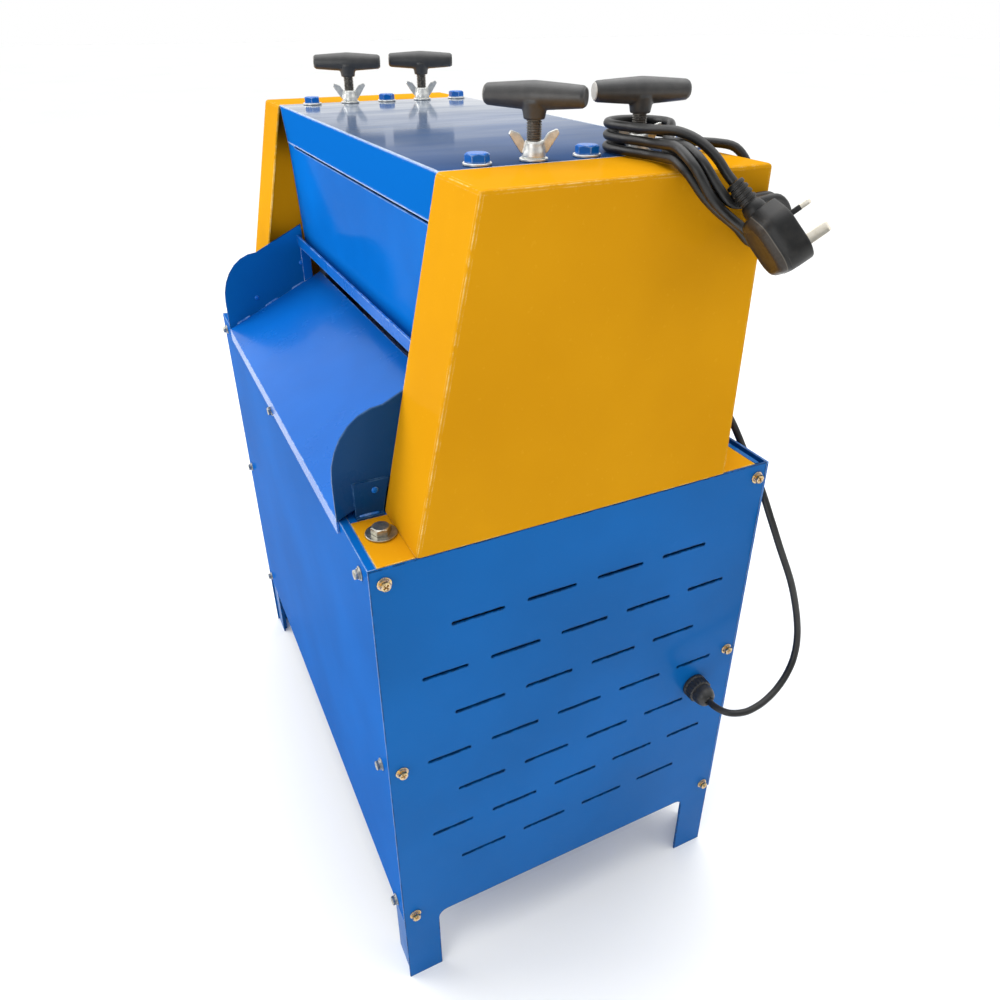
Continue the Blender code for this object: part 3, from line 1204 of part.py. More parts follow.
def eased(share):
    share = min(max(share, 0), 1)
    return share * share * (3 - 2 * share)


def smooth_route(route, step):
    # A centripetal spline through the route, read at even steps.
    points = [Vector(point) for point in route]
    points = [2 * points[0] - points[1], *points, 2 * points[-1] - points[-2]]
    fine = []
    for i in range(1, len(points) - 2):
        p0, p1, p2, p3 = points[i - 1:i + 3]
        t1 = (p1 - p0).length ** 0.5
        t2 = t1 + (p2 - p1).length ** 0.5
        t3 = t2 + (p3 - p2).length ** 0.5
        for share in [n / 12 for n in range(12)]:
            t = t1 + (t2 - t1) * share
            a1 = p0.lerp(p1, t / t1)
            a2 = p1.lerp(p2, (t - t1) / (t2 - t1))
            a3 = p2.lerp(p3, (t - t2) / (t3 - t2))
            b1 = a1.lerp(a2, t / t2)
            b2 = a2.lerp(a3, (t - t1) / (t3 - t1))
            fine.append(b1.lerp(b2, (t - t1) / (t2 - t1)))
    fine.append(points[-2])
    lengths = [0]
    for a, b in zip(fine, fine[1:]):
        lengths.append(lengths[-1] + (b - a).length)
    count = max(round(lengths[-1] / step), 1)
    return [point_along(fine, lengths, lengths[-1] * n / count) for n in range(count + 1)]


def point_along(fine, lengths, distance):
    for i in range(1, len(fine)):
        if lengths[i] >= distance or i == len(fine) - 1:
            share = (distance - lengths[i - 1]) / (lengths[i] - lengths[i - 1])
            return fine[i - 1].lerp(fine[i], share)


def tube(name, points, radius, resolution, radii=None):
    curve = bpy.data.curves.new(name, "CURVE")
    curve.dimensions = "3D"
    curve.bevel_depth = radius
    curve.bevel_resolution = resolution
    curve.use_fill_caps = True
    spline = curve.splines.new("POLY")
    spline.points.add(len(points) - 1)
    for i, point in enumerate(points):
        spline.points[i].co = (*point, 1)
        spline.points[i].radius = radii[i] if radii else 1
    return added(name, curve, ALONG_Z, (0, 0, 0))


def supply_cord():
    start = Vector((GLAND_END + SEAT_GAP, GLAND_Y, GLAND_Z))
    straight = Vector((2 * CORD_RADIUS, 0, 0))
    end = Vector(HANK_START) - hank_heading() * SEAT_GAP
    last = end - hank_heading() * (2 * CORD_RADIUS)
    run = smooth_route([start + straight, *CORD_ROUTE, last], CORD_STEP)
    finish(tube("cord", [start, *run, end], CORD_RADIUS, CORD_STEPS), BLACK_RUBBER)


def hank_heading():
    # From the start of the hank to where it first touches the turn round the screw.
    touch, _ = hank_touch()
    way = touch - Vector(HANK_START)
    way.z = 0
    return way.normalized()


def hank_touch():
    start = Vector(HANK_START)
    centre = Vector(HANK_SPINE[0])
    away = (start - centre).xy
    angle = math.atan2(away.y, away.x) + math.acos(HANK_TOP_RADIUS / away.length)
    return turn_point(angle, 0), angle


def turn_point(angle, layer):
    centre = Vector(HANK_SPINE[0])
    return centre + Vector((
        HANK_TOP_RADIUS * math.cos(angle), HANK_TOP_RADIUS * math.sin(angle), layer * HANK_LAYER,
    ))


class Spine:
    # Places beside the line along the middle of the hank, and in layers above it.
    def __init__(self):
        self.points = smooth_route(HANK_SPINE, HANK_WAIST / 2)
        self.lengths = [0]
        for a, b in zip(self.points, self.points[1:]):
            self.lengths.append(self.lengths[-1] + (b - a).length)
        self.length = self.lengths[-1]

    def frame(self, distance):
        here = point_along(self.points, self.lengths, distance)
        near = max(distance - HANK_WAIST, 0)
        far = min(distance + HANK_WAIST, self.length)
        ahead = point_along(self.points, self.lengths, far) - point_along(self.points, self.lengths, near)
        ahead.normalize()
        lean = eased((distance - HANK_TURN_START) / (HANK_TURN_END - HANK_TURN_START))
        outward = Vector((lean, 0, 1 - lean))
        across = outward.cross(ahead).normalized()
        return here, ahead, across, ahead.cross(across)

    def place(self, distance, side, layer):
        here, _, across, outward = self.frame(distance)
        return here + across * side + outward * layer * HANK_LAYER

    def half_width(self, distance):
        upper = 1 - eased(distance / HANK_TAPER)
        lower = eased((distance - self.length + HANK_FOLD_TAPER) / HANK_FOLD_TAPER)
        return (
            HANK_WAIST + (HANK_TOP_RADIUS - HANK_WAIST) * upper + (HANK_FOLD_RADIUS - HANK_WAIST) * lower
        )


def hank_points():
    spine = Spine()
    touch, touch_angle = hank_touch()
    _, ahead, _, _ = spine.frame(0)
    rear = math.atan2(ahead.y, ahead.x) + math.pi / 2
    front = rear + math.pi
    start = Vector(HANK_START)
    points = [start, start + hank_heading() * (2 * CORD_RADIUS), touch]
    for n in range(1, 5):
        points.append(turn_point(touch_angle + (front - touch_angle) * n / 4, 0))
    for turn in range(HANK_TURNS):
        for share in HANK_RUN_SHARES:
            distance = spine.length * share
            points.append(spine.place(distance, -spine.half_width(distance), turn))
        here, ahead, across, outward = spine.frame(spine.length)
        for n in range(4):
            angle = math.pi * n / 3
            fold = ahead * math.sin(angle) - across * math.cos(angle)
            points.append(here + fold * HANK_FOLD_RADIUS + outward * turn * HANK_LAYER)
        for share in reversed(HANK_RUN_SHARES):
            distance = spine.length * share
            climb = 1 - eased((distance - HANK_CLIMB_START) / (HANK_CLIMB_END - HANK_CLIMB_START))
            points.append(spine.place(distance, spine.half_width(distance), turn + climb))
        for n in range(6):
            points.append(turn_point(rear + (front - rear) * n / 5, turn + 1))
    end = Vector(PLUG_CORD_END)
    way = plug_relief_way()
    last = end - way * SEAT_GAP
    points += [Vector(point) for point in PLUG_TAIL]
    points += [last - way * (2 * CORD_RADIUS), last]
    return points


def least_gap(points):
    # The least gap of the tube to itself, measured between points on stretches that are apart.
    fine = []
    for a, b in zip(points, points[1:]):
        fine += [a.lerp(b, n / 6) for n in range(6)]
    least = math.inf
    for i, a in enumerate(fine):
        for b in fine[i + 24:]:
            least = min(least, (a - b).length)
    return least - 2 * CORD_RADIUS


def cord_hank():
    points = hank_points()
    print(f"The hank's least gap to itself is {least_gap(points) * 1000:.2f} mm.")
    finish(tube("cord_hank", points, CORD_RADIUS, HANK_STEPS), BLACK_RUBBER)


def plug_relief_end():
    ahead = PLUG_AHEAD.normalized()
    return Vector(PLUG_MIDDLE) - ahead * (PLUG_LENGTH / 2)


def plug_relief_way():
    return (plug_relief_end() - Vector(PLUG_CORD_END)).normalized()


def plug():
    # A moulded mains plug: body, tapered strain relief and three flat pins in one.
    ahead = PLUG_AHEAD.normalized()
    pins_way = (PLUG_PINS_WAY - ahead * PLUG_PINS_WAY.dot(ahead)).normalized()
    side = pins_way.cross(ahead)
    turn = Matrix((ahead, side, pins_way)).transposed().to_4x4()
    middle = Vector(PLUG_MIDDLE)
    back, front = -PLUG_LENGTH / 2, PLUG_LENGTH / 2
    neck, half = PLUG_NECK_WIDTH / 2, PLUG_WIDTH / 2
    shoulder, nose = back + PLUG_SHOULDER, front - PLUG_NOSE_CUT
    outline = [
        (back, -neck), (shoulder, -half), (nose, -half), (front, PLUG_NOSE_CUT - half),
        (front, half - PLUG_NOSE_CUT), (nose, half), (shoulder, half), (back, neck),
    ]
    place = middle - pins_way * (PLUG_THICKNESS / 2)
    body = sheet("plug", [outline], turn, place, PLUG_THICKNESS)
    bevelled(body, PLUG_EDGE, 1)

    start = Vector(PLUG_CORD_END)
    end = plug_relief_end() + ahead * PLUG_EDGE
    spots = [start.lerp(end, n / 3) for n in range(4)]
    growth = (RELIEF_END_RADIUS - RELIEF_START_RADIUS) / RELIEF_START_RADIUS
    radii = [1 + growth * n / 3 for n in range(4)]
    relief = solid_copy(tube("relief", spots, RELIEF_START_RADIUS, RELIEF_STEPS, radii))

    sunk = PLUG_THICKNESS / 2 - PLUG_EDGE
    live = (-PIN_BACK, LIVE_PIN_WIDTH, PIN_THICKNESS, LIVE_PIN_LENGTH)
    earth = (PIN_SPACING - PIN_BACK, PIN_THICKNESS, EARTH_PIN_WIDTH, EARTH_PIN_LENGTH)
    pins = []
    for across, (along, wide, deep, long) in (
        (PIN_SPACING / 2, live), (-PIN_SPACING / 2, live), (0, earth),
    ):
        loop = rectangle((along - deep / 2, across - wide / 2), (along + deep / 2, across + wide / 2))
        base = middle + pins_way * sunk
        pins.append(sheet("pin", [loop], turn, base, long + PLUG_EDGE))
    finish(joined(body, relief, *pins), BLACK_RUBBER)


def main():
    start_scene()
    cabinet_panels()
    cabinet_frame()
    base_plate()
    head()
    rollers()
    drive()
    switch()
    cable_gland()
    supply_cord()
    cord_hank()
    plug()


main()
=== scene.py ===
import math

import bmesh
import bpy
from mathutils import Matrix, Vector


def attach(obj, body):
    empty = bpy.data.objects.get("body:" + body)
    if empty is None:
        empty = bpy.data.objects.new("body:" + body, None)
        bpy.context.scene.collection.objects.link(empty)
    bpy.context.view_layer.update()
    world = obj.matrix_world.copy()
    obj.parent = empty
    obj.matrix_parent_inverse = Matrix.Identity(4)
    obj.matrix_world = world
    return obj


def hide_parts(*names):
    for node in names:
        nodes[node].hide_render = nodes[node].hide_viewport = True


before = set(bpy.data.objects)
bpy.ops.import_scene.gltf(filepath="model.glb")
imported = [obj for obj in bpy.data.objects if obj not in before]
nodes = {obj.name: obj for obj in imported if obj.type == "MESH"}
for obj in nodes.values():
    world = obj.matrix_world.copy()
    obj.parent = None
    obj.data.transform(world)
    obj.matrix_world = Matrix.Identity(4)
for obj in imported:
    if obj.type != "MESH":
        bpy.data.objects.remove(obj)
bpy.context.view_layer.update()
scene = bpy.context.scene
millimetre = 0.001

# Camera

view = {
    "side": 1000, "focal": 801.28, "sensor": 36.0, "middle": (505.82, 468.07),
    "place": (0.8276, -0.3200, 0.9356), "tilt": 60.219, "heading": 63.896,
}


def addCamera():
    side = view["side"]
    data = bpy.data.cameras.new("camera")
    data.sensor_fit = "HORIZONTAL"
    data.sensor_width = view["sensor"]
    data.lens = view["focal"] * view["sensor"] / side
    data.shift_x = (side / 2 - view["middle"][0]) / side
    data.shift_y = (view["middle"][1] - side / 2) / side
    data.clip_start = 0.02
    camera = bpy.data.objects.new("camera", data)
    camera.location = view["place"]
    camera.rotation_euler = (math.radians(view["tilt"]), 0, math.radians(view["heading"]))
    scene.collection.objects.link(camera)
    scene.camera = camera


addCamera()
print("camera done")

# Materials


def fromHex(text):
    # sRGB hex to the linear colour that the shader takes.
    values = [int(text[i:i + 2], 16) / 255 for i in (1, 3, 5)]
    return (*[v / 12.92 if v <= 0.04045 else ((v + 0.055) / 1.055) ** 2.4 for v in values], 1.0)


def add(tree, kind, inputs=None, **settings):
    # One node, with its settings; a socket given as an input is linked.
    node = tree.nodes.new(kind)
    for key, value in settings.items():
        setattr(node, key, value)
    for key, value in (inputs or {}).items():
        if isinstance(value, bpy.types.NodeSocket):
            tree.links.new(value, node.inputs[key])
        else:
            node.inputs[key].default_value = value
    return node


def newMaterial(name, **sockets):
    material = bpy.data.materials.new(name)
    material.use_nodes = True
    tree = material.node_tree
    shader = tree.nodes["Principled BSDF"]
    for key, value in sockets.items():
        shader.inputs[key.replace("_", " ")].default_value = value
    return material, tree, shader


def ramp(tree, factor, stops):
    # A colour ramp from (position, hex) pairs.
    node = add(tree, "ShaderNodeValToRGB", {"Fac": factor})
    elements = node.color_ramp.elements
    while len(elements) < len(stops):
        elements.new(0.5)
    for element, (position, colour) in zip(elements, stops):
        element.position = position
        element.color = fromHex(colour)
    return node.outputs["Color"]


def spread(tree, value, low, high, start=0.0, end=1.0):
    node = add(tree, "ShaderNodeMapRange", {
        "Value": value, "From Min": start, "From Max": end, "To Min": low, "To Max": high,
    })
    return node.outputs["Result"]


def noise(tree, size, detail=2.0, roughness=0.5, stretch=(1, 1, 1)):
    # Noise whose spots are about this size in metres; stretch makes them longer along an axis.
    place = add(tree, "ShaderNodeTexCoord")
    scaled = add(tree, "ShaderNodeMapping", {
        "Vector": place.outputs["Object"], "Scale": tuple(1 / (size * s) for s in stretch),
    })
    node = add(tree, "ShaderNodeTexNoise", {
        "Vector": scaled.outputs["Vector"], "Scale": 1.0, "Detail": detail, "Roughness": roughness,
    })
    return node.outputs["Fac"]


def mixed(tree, factor, first, second, blend="MIX"):
    node = add(tree, "ShaderNodeMix", data_type="RGBA", blend_type=blend)
    for socket, value in zip((node.inputs[0], node.inputs[6], node.inputs[7]), (factor, first, second)):
        if isinstance(value, bpy.types.NodeSocket):
            tree.links.new(value, socket)
        else:
            socket.default_value = fromHex(value) if isinstance(value, str) else value
    return node.outputs[2]


def relief(tree, shader, heights, edge=None):
    # Bumps, each (height, depth in metres), over an edge rounded by the bevel node.
    normal = None
    if edge:
        normal = add(tree, "ShaderNodeBevel", {"Radius": edge}, samples=4).outputs["Normal"]
    for height, depth in heights:
        bump = add(tree, "ShaderNodeBump", {"Height": height, "Strength": 1.0, "Distance": depth})
        if normal:
            tree.links.new(normal, bump.inputs["Normal"])
        normal = bump.outputs["Normal"]
    tree.links.new(normal, shader.inputs["Normal"])
    return normal


def edges(tree, radius, start, end):
    # 1 along a sharp edge and 0 away from it.
    bevel = add(tree, "ShaderNodeBevel", {"Radius": radius}, samples=4)
    flat = add(tree, "ShaderNodeNewGeometry")
    dot = add(tree, "ShaderNodeVectorMath", operation="DOT_PRODUCT")
    tree.links.new(bevel.outputs["Normal"], dot.inputs[0])
    tree.links.new(flat.outputs["Normal"], dot.inputs[1])
    return spread(tree, dot.outputs["Value"], 0.0, 1.0, start, end)


# Sizes in metres of what shows in the paint. Orange peel is 2 to 3 mm in the real paint; it is drawn at
# 4 mm, so that it shows from a step away.
enamel = {
    "cloud": 0.16, "nib": 0.0042, "foldLightPatch": 0.012, "smudge": 0.07, "peel": 4 * millimetre, "buckle": 0.11,
    "streak": 0.05, "fold": 0.0016, "round": 0.0011,
}


def sprayedEnamel(name, look):
    # Gloss alkyd enamel, sprayed on sheet steel and air dried: a deep even colour under a wet-looking
    # coat, with orange peel, dust nibs, slightly buckled sheet and a line painted along its folds:
    # a painted highlight, and on the cabinet sides a dark painted shade.
    material, tree, shader = newMaterial(
        name, Metallic=0.0, IOR=1.5, Specular_IOR_Level=look["gloss"], Coat_Weight=look["coat"],
        Coat_Roughness=look["coatRoughness"], Coat_IOR=look.get("coatIor", 1.5),
    )
    cloudy = spread(tree, noise(tree, enamel["cloud"], 3.0), 0.0, 1.0, 0.35, 0.65)
    colour = mixed(tree, cloudy, look["colour"], look["deep"])
    nibs = spread(tree, noise(tree, enamel["nib"], 1.0), 0.0, 0.06, 0.70, 0.76)
    colour = mixed(tree, nibs, colour, look["nib"])
    # The edge colour along the folds is painted light, broken up by noise: a painted highlight, and a painted shade on
    # the cabinet sides.
    foldLightAmount = spread(tree, noise(tree, enamel["foldLightPatch"], 4.0, 0.7), look.get("line", 0.0), look["foldLight"], 0.42, 0.62)
    edge = add(
        tree, "ShaderNodeMath", {0: edges(tree, look.get("fold", enamel["fold"]), 0.995, 0.90), 1: foldLightAmount},
        operation="MULTIPLY",
    )
    colour = mixed(tree, edge.outputs["Value"], colour, look["edge"])
    tree.links.new(colour, shader.inputs["Base Color"])
    dull = look["roughness"]
    smudge = spread(tree, noise(tree, enamel["smudge"], 5.0, 0.6), dull * 0.8, dull * 1.25, 0.3, 0.7)
    tree.links.new(smudge, shader.inputs["Roughness"])
    peel = noise(tree, enamel["peel"], 2.0)
    buckle = noise(tree, enamel["buckle"], 1.0)
    relief(tree, shader, [(buckle, look["buckle"]), (peel, look["peel"])], enamel["round"])
    if "farReflection" in look:
        # The level face mirrors the room, its coat strongest at its far end, and there a grey painted reflection is
        # mixed into its colour.
        # The faces that don't look up take the paler flange blue; the level face's darker blue is painted shade.
        far, near, reach = look["farReflection"]
        place = add(tree, "ShaderNodeSeparateXYZ", {0: add(tree, "ShaderNodeTexCoord").outputs["Object"]})
        level = add(tree, "ShaderNodeSeparateXYZ", {0: add(tree, "ShaderNodeNewGeometry").outputs["Normal"]})
        reflectionStrength = spread(tree, place.outputs["X"], far, near, -reach, reach)
        streaks = spread(tree, noise(tree, enamel["streak"], 3.0, 0.6, (1, 6, 1)), 0.7, 1.25, 0.3, 0.7)
        reflectionStrength = add(tree, "ShaderNodeMath", {0: reflectionStrength, 1: streaks}, operation="MULTIPLY").outputs["Value"]
        facing = spread(tree, level.outputs["Z"], 0.0, 1.0, 0.6, 0.95)
        kept = add(tree, "ShaderNodeMath", {0: reflectionStrength, 1: facing}, operation="MULTIPLY")
        tree.links.new(kept.outputs["Value"], shader.inputs["Coat Weight"])
        # A grey painted reflection, mixed into the colour where the coat is strongest.
        reflectionVeil = spread(tree, reflectionStrength, 0.0, look["reflectionVeil"][1])
        colour = mixed(tree, facing, look["flange"], mixed(tree, reflectionVeil, colour, look["reflectionVeil"][0]))
        # The painted highlight along the folds is laid on again.
        colour = mixed(tree, edge.outputs["Value"], colour, look["edge"])
        tree.links.new(colour, shader.inputs["Base Color"])
    if "inner" in look:
        # The plate is blue between the housings, and yellow under them.
        place = add(tree, "ShaderNodeSeparateXYZ", {0: add(tree, "ShaderNodeTexCoord").outputs["Object"]})
        away = add(tree, "ShaderNodeMath", {0: place.outputs["X"]}, operation="ABSOLUTE").outputs["Value"]
        outside = spread(tree, away, 0.0, 1.0, look["inner"], look["inner"] + 0.0002)
        tree.links.new(mixed(tree, outside, paints["blue"]["deep"], colour), shader.inputs["Base Color"])
    return material


def zincPlate(name, stops, roughness):
    # Electroplated zinc on steel: bright and slightly grey, or iridescent where it was passivated.
    material, tree, shader = newMaterial(name, Metallic=1.0)
    tone = noise(tree, 3.2 * millimetre, 3.0, 0.6)
    tree.links.new(ramp(tree, tone, stops), shader.inputs["Base Color"])
    tree.links.new(
        spread(tree, noise(tree, 1.5 * millimetre, 3.0), roughness * 0.75, roughness * 1.3), shader.inputs["Roughness"],
    )
    relief(tree, shader, [(noise(tree, 1.1 * millimetre, 3.0), 0.05 * millimetre)], 0.0003)
    return material


def groundSteel(name, colour, roughness, stretch):
    # Cylindrically ground tool steel: fine rings round the axis, bright where the wheel left it.
    material, tree, shader = newMaterial(name, Metallic=1.0)
    rings = noise(tree, 0.5 * millimetre, 2.0, 0.6, stretch)
    stain = noise(tree, 0.03, 4.0)
    tree.links.new(
        mixed(tree, spread(tree, stain, 0.0, 0.5, 0.4, 0.8), colour[0], colour[1]), shader.inputs["Base Color"],
    )
    tree.links.new(spread(tree, rings, roughness * 0.7, roughness * 1.4), shader.inputs["Roughness"])
    relief(tree, shader, [(rings, 0.02 * millimetre)], 0.0004)
    return material


def oiledBlack(name):
    # Black oxide on steel, wiped with oil: near black, with a pale painted highlight on crests and edges.
    material, tree, shader = newMaterial(name, Metallic=1.0)
    tone = spread(tree, noise(tree, 2.5 * millimetre, 4.0, 0.6), 0.0, 1.0, 0.3, 0.7)
    colour = mixed(tree, tone, "#66625D", "#403D3A")
    # Pale colour along crests and edges: a painted highlight.
    colour = mixed(tree, edges(tree, 0.0006, 0.99, 0.85), colour, "#B2AEA6")
    tree.links.new(colour, shader.inputs["Base Color"])
    tree.links.new(spread(tree, tone, 0.34, 0.5), shader.inputs["Roughness"])
    relief(tree, shader, [(noise(tree, 0.7 * millimetre, 3.0), 0.04 * millimetre)], 0.0002)
    return material


def greyIron(name):
    # Cast iron, milled on its faces: dark grey, grainy, dull.
    material, tree, shader = newMaterial(name, Metallic=0.8)
    grain = noise(tree, 1.6 * millimetre, 4.0, 0.65)
    tree.links.new(
        ramp(tree, grain, [(0.3, "#3C4043"), (0.6, "#5B6063"), (0.75, "#74797B")]), shader.inputs["Base Color"],
    )
    tree.links.new(spread(tree, grain, 0.5, 0.7), shader.inputs["Roughness"])
    relief(tree, shader, [(grain, 0.08 * millimetre)], 0.0008)
    return material


def machineGrey(name):
    # Semi-matt machine enamel on castings: even grey with a fine pebble from the sand mould.
    material, tree, shader = newMaterial(name, IOR=1.5)
    tone = spread(tree, noise(tree, 0.05, 3.0), 0.0, 1.0, 0.35, 0.65)
    tree.links.new(mixed(tree, tone, "#7C868B", "#687277"), shader.inputs["Base Color"])
    tree.links.new(spread(tree, noise(tree, 0.02, 3.0), 0.38, 0.5), shader.inputs["Roughness"])
    relief(tree, shader, [(noise(tree, 2.4 * millimetre, 3.0), 0.12 * millimetre)], 0.0015)
    return material


def mouldedPlastic(name, look):
    # Injection moulded or extruded polymer: near black, with the tool's fine texture, and pale edges that are partly
    # rubbed wear and partly a painted highlight.
    material, tree, shader = newMaterial(name, IOR=look["ior"], Specular_IOR_Level=look.get("gloss", 0.5))
    dust = spread(tree, noise(tree, look["dustSize"], 4.0, 0.6), 0.0, look["dust"], 0.42, 0.75)
    colour = mixed(tree, dust, look["colour"], look["pale"])
    # Pale edges: partly rubbed wear, partly a painted highlight.
    rubbedAndHighlit = spread(tree, edges(tree, 0.0008, 0.99, 0.85), 0.0, 0.35)
    colour = mixed(tree, rubbedAndHighlit, colour, look["pale"])
    if "cover" in look:
        # The plug's grained back cover is browner, and a pale painted highlight runs along its seam.
        place = add(tree, "ShaderNodeSeparateXYZ", {0: add(tree, "ShaderNodeTexCoord").outputs["Object"]})
        split = look["split"]
        behind = spread(tree, place.outputs["Z"], 1.0, 0.0, split - 0.0001, split + 0.0001)
        grain = mixed(tree, noise(tree, 1.3 * millimetre, 3.0), look["cover"], look["coverPale"])
        colour = mixed(tree, behind, colour, grain)
        off = add(tree, "ShaderNodeMath", {0: place.outputs["Z"], 1: split}, operation="SUBTRACT")
        off = add(tree, "ShaderNodeMath", {0: off.outputs["Value"]}, operation="ABSOLUTE")
        # A pale line along the cover's seam: a painted highlight.
        seam = spread(tree, off.outputs["Value"], 0.45, 0.0, 0.0001, 0.0005)
        colour = mixed(tree, seam, colour, look["pale"])
    tree.links.new(colour, shader.inputs["Base Color"])
    tree.links.new(
        spread(tree, noise(tree, 6 * millimetre, 3.0), look["roughness"] * 0.85, look["roughness"] * 1.15),
        shader.inputs["Roughness"],
    )
    relief(tree, shader, [(noise(tree, look["grain"], 2.0), look["depth"])], 0.0004)
    return material


# Each paint's edge colour is laid along its folds: a painted highlight, and on the cabinet sides a painted shade.
paints = {
    "blue": {
        "colour": "#0767C2", "deep": "#065DB2", "nib": "#3E86D6", "edge": "#B9D8F8", "foldLight": 0.9,
        "roughness": 0.24, "gloss": 0.12, "coat": 0.10, "coatRoughness": 0.07, "buckle": 0.00030, "peel": 0.000045,
    },
    # The top plate's level face is painted darker than its flange (painted shade) and greyed towards its far end
    # (painted reflection), with a wide painted highlight along its front fold.
    "topBlue": {
        "colour": "#0A3C70", "deep": "#093462", "nib": "#3E86D6", "edge": "#DCE9FB", "foldLight": 1.0, "line": 0.8,
        "fold": 0.0034, "farReflection": (1.15, 0.0, 0.30), "reflectionVeil": ("#97A0A6", 0.50), "coatIor": 1.95, "flange": "#0B63B6",
        "roughness": 0.20, "gloss": 0.0, "coat": 0.65, "coatRoughness": 0.09, "buckle": 0.00030, "peel": 0.000045,
    },
    "frontBlue": {
        "colour": "#075CAE", "deep": "#0655A2", "nib": "#3E86D6", "edge": "#BBD8F6", "foldLight": 0.8, "line": 0.35,
        "roughness": 0.30, "gloss": 0.0, "coat": 0.07, "coatRoughness": 0.10, "buckle": 0.00025, "peel": 0.000040,
    },
    "hoodBlue": {
        "colour": "#0867BE", "deep": "#075EB0", "nib": "#3E86D6", "edge": "#BBD8F6", "foldLight": 0.8, "line": 0.35,
        "roughness": 0.30, "gloss": 0.0, "coat": 0.07, "coatRoughness": 0.10, "buckle": 0.00025, "peel": 0.000040,
    },
    # The right guard's blue is the same enamel painted darker: painted shade, where the yellow housing keeps the light
    # off it.
    "shadedGuardBlue": {
        "colour": "#0C3E70", "deep": "#0A3662", "nib": "#2C649C", "edge": "#6E9CC8", "foldLight": 0.5,
        "roughness": 0.30, "gloss": 0.08, "coat": 0.06, "coatRoughness": 0.10, "buckle": 0.00020, "peel": 0.000040,
    },
    # The cabinet sides' edge colour is near black: a painted shade line along the top edge under the yellow plate and
    # along the folds.
    "sideBlue": {
        "colour": "#075FA8", "deep": "#06589C", "nib": "#3A7AC2", "edge": "#071B33", "foldLight": 1.8, "fold": 0.0022,
        "roughness": 0.36, "gloss": 0.04, "coat": 0.10, "coatRoughness": 0.14, "buckle": 0.00020, "peel": 0.000035,
    },
    "yellow": {
        "colour": "#CF9212", "deep": "#C88B0F", "nib": "#F6C84A", "edge": "#FFEFA8", "foldLight": 0.9,
        "roughness": 0.30, "gloss": 0.0, "coat": 0.03, "coatRoughness": 0.08, "buckle": 0.00022, "peel": 0.000040,
    },
}
plastics = {
    "nylon": {
        "colour": "#343434", "pale": "#6A6863", "dust": 0.15, "gloss": 0.5, "dustSize": 0.010, "ior": 1.53,
        "roughness": 0.40, "grain": 0.9 * millimetre, "depth": 0.03 * millimetre,
    },
    "cordPvc": {
        "colour": "#101010", "pale": "#514F4B", "dust": 0.12, "gloss": 0.4, "dustSize": 0.014, "ior": 1.54,
        "roughness": 0.42, "grain": 1.4 * millimetre, "depth": 0.03 * millimetre,
    },
    "plugPvc": {
        "colour": "#141414", "pale": "#7A746A", "dust": 0.06, "gloss": 0.28, "dustSize": 0.012, "ior": 1.54,
        "cover": "#1D1814", "coverPale": "#40382F", "split": -7.7 * millimetre,
        "roughness": 0.42, "grain": 1.0 * millimetre, "depth": 0.05 * millimetre,
    },
    "polyamide": {
        "colour": "#151515", "pale": "#4C4A48", "dust": 0.2, "dustSize": 0.006, "ior": 1.53,
        "roughness": 0.42, "grain": 0.8 * millimetre, "depth": 0.02 * millimetre,
    },
    "whiteCap": {
        "colour": "#B9B6AF", "pale": "#DAD8D2", "dust": 0.5, "dustSize": 0.003, "ior": 1.5,
        "roughness": 0.6, "grain": 0.8 * millimetre, "depth": 0.05 * millimetre,
    },
    "greenAbs": {
        "colour": "#0E8A3A", "pale": "#48B36E", "dust": 0.2, "dustSize": 0.006, "ior": 1.54,
        "roughness": 0.3, "grain": 0.9 * millimetre, "depth": 0.01 * millimetre,
    },
    "redAbs": {
        "colour": "#B3140F", "pale": "#D8524A", "dust": 0.2, "dustSize": 0.006, "ior": 1.54,
        "roughness": 0.3, "grain": 0.9 * millimetre, "depth": 0.01 * millimetre,
    },
}
blueEnamel = sprayedEnamel("blueAlkydEnamel", paints["blue"])
topEnamel = sprayedEnamel("blueAlkydEnamelTopPlate", paints["topBlue"])
frontEnamel = sprayedEnamel("blueAlkydEnamelFronts", paints["frontBlue"])
hoodEnamel = sprayedEnamel("blueAlkydEnamelHoods", paints["hoodBlue"])
shadedGuardEnamel = sprayedEnamel("blueAlkydEnamelGuardPaintedShade", paints["shadedGuardBlue"])
sideEnamel = sprayedEnamel("blueAlkydEnamelCabinetSides", paints["sideBlue"])
yellowEnamel = sprayedEnamel("yellowAlkydEnamel", paints["yellow"])
baseEnamel = sprayedEnamel("alkydEnamelBasePlate", {**paints["yellow"], "inner": 0.2647})
brightZinc = zincPlate("brightZincPlate", [(0.3, "#CCCECC"), (0.55, "#E4E4DF"), (0.8, "#F0EFE8")], 0.44)
yellowZinc = zincPlate(
    "yellowPassivatedZinc", [(0.3, "#C59B54"), (0.45, "#D9C08A"), (0.6, "#B9A6A0"), (0.75, "#A8B08E")], 0.26,
)
boltZinc = zincPlate("dullZincPlate", [(0.3, "#8F8F88"), (0.55, "#B0AEA4"), (0.8, "#C9C4B4")], 0.36)
nickel = zincPlate("nickelPlatedBrass", [(0.3, "#DDD4C0"), (0.6, "#EAE2D2"), (0.8, "#F5EFE3")], 0.32)
rollerSteel = groundSteel("groundToolSteel", ("#A6A8AA", "#7D7A75"), 0.26, (1, 60, 60))
bladeSteel = groundSteel("groundBladeSteel", ("#C4C6C8", "#A09E9A"), 0.20, (40, 1, 1))
blackOxide = oiledBlack("blackOxideSteel")
castIron = greyIron("milledCastIron")
greyEnamel = machineGrey("greyMachineEnamel")
nylon = mouldedPlastic("glassFilledNylon", plastics["nylon"])
cordPvc = mouldedPlastic("extrudedCordPvc", plastics["cordPvc"])
plugPvc = mouldedPlastic("mouldedPlugPvc", plastics["plugPvc"])
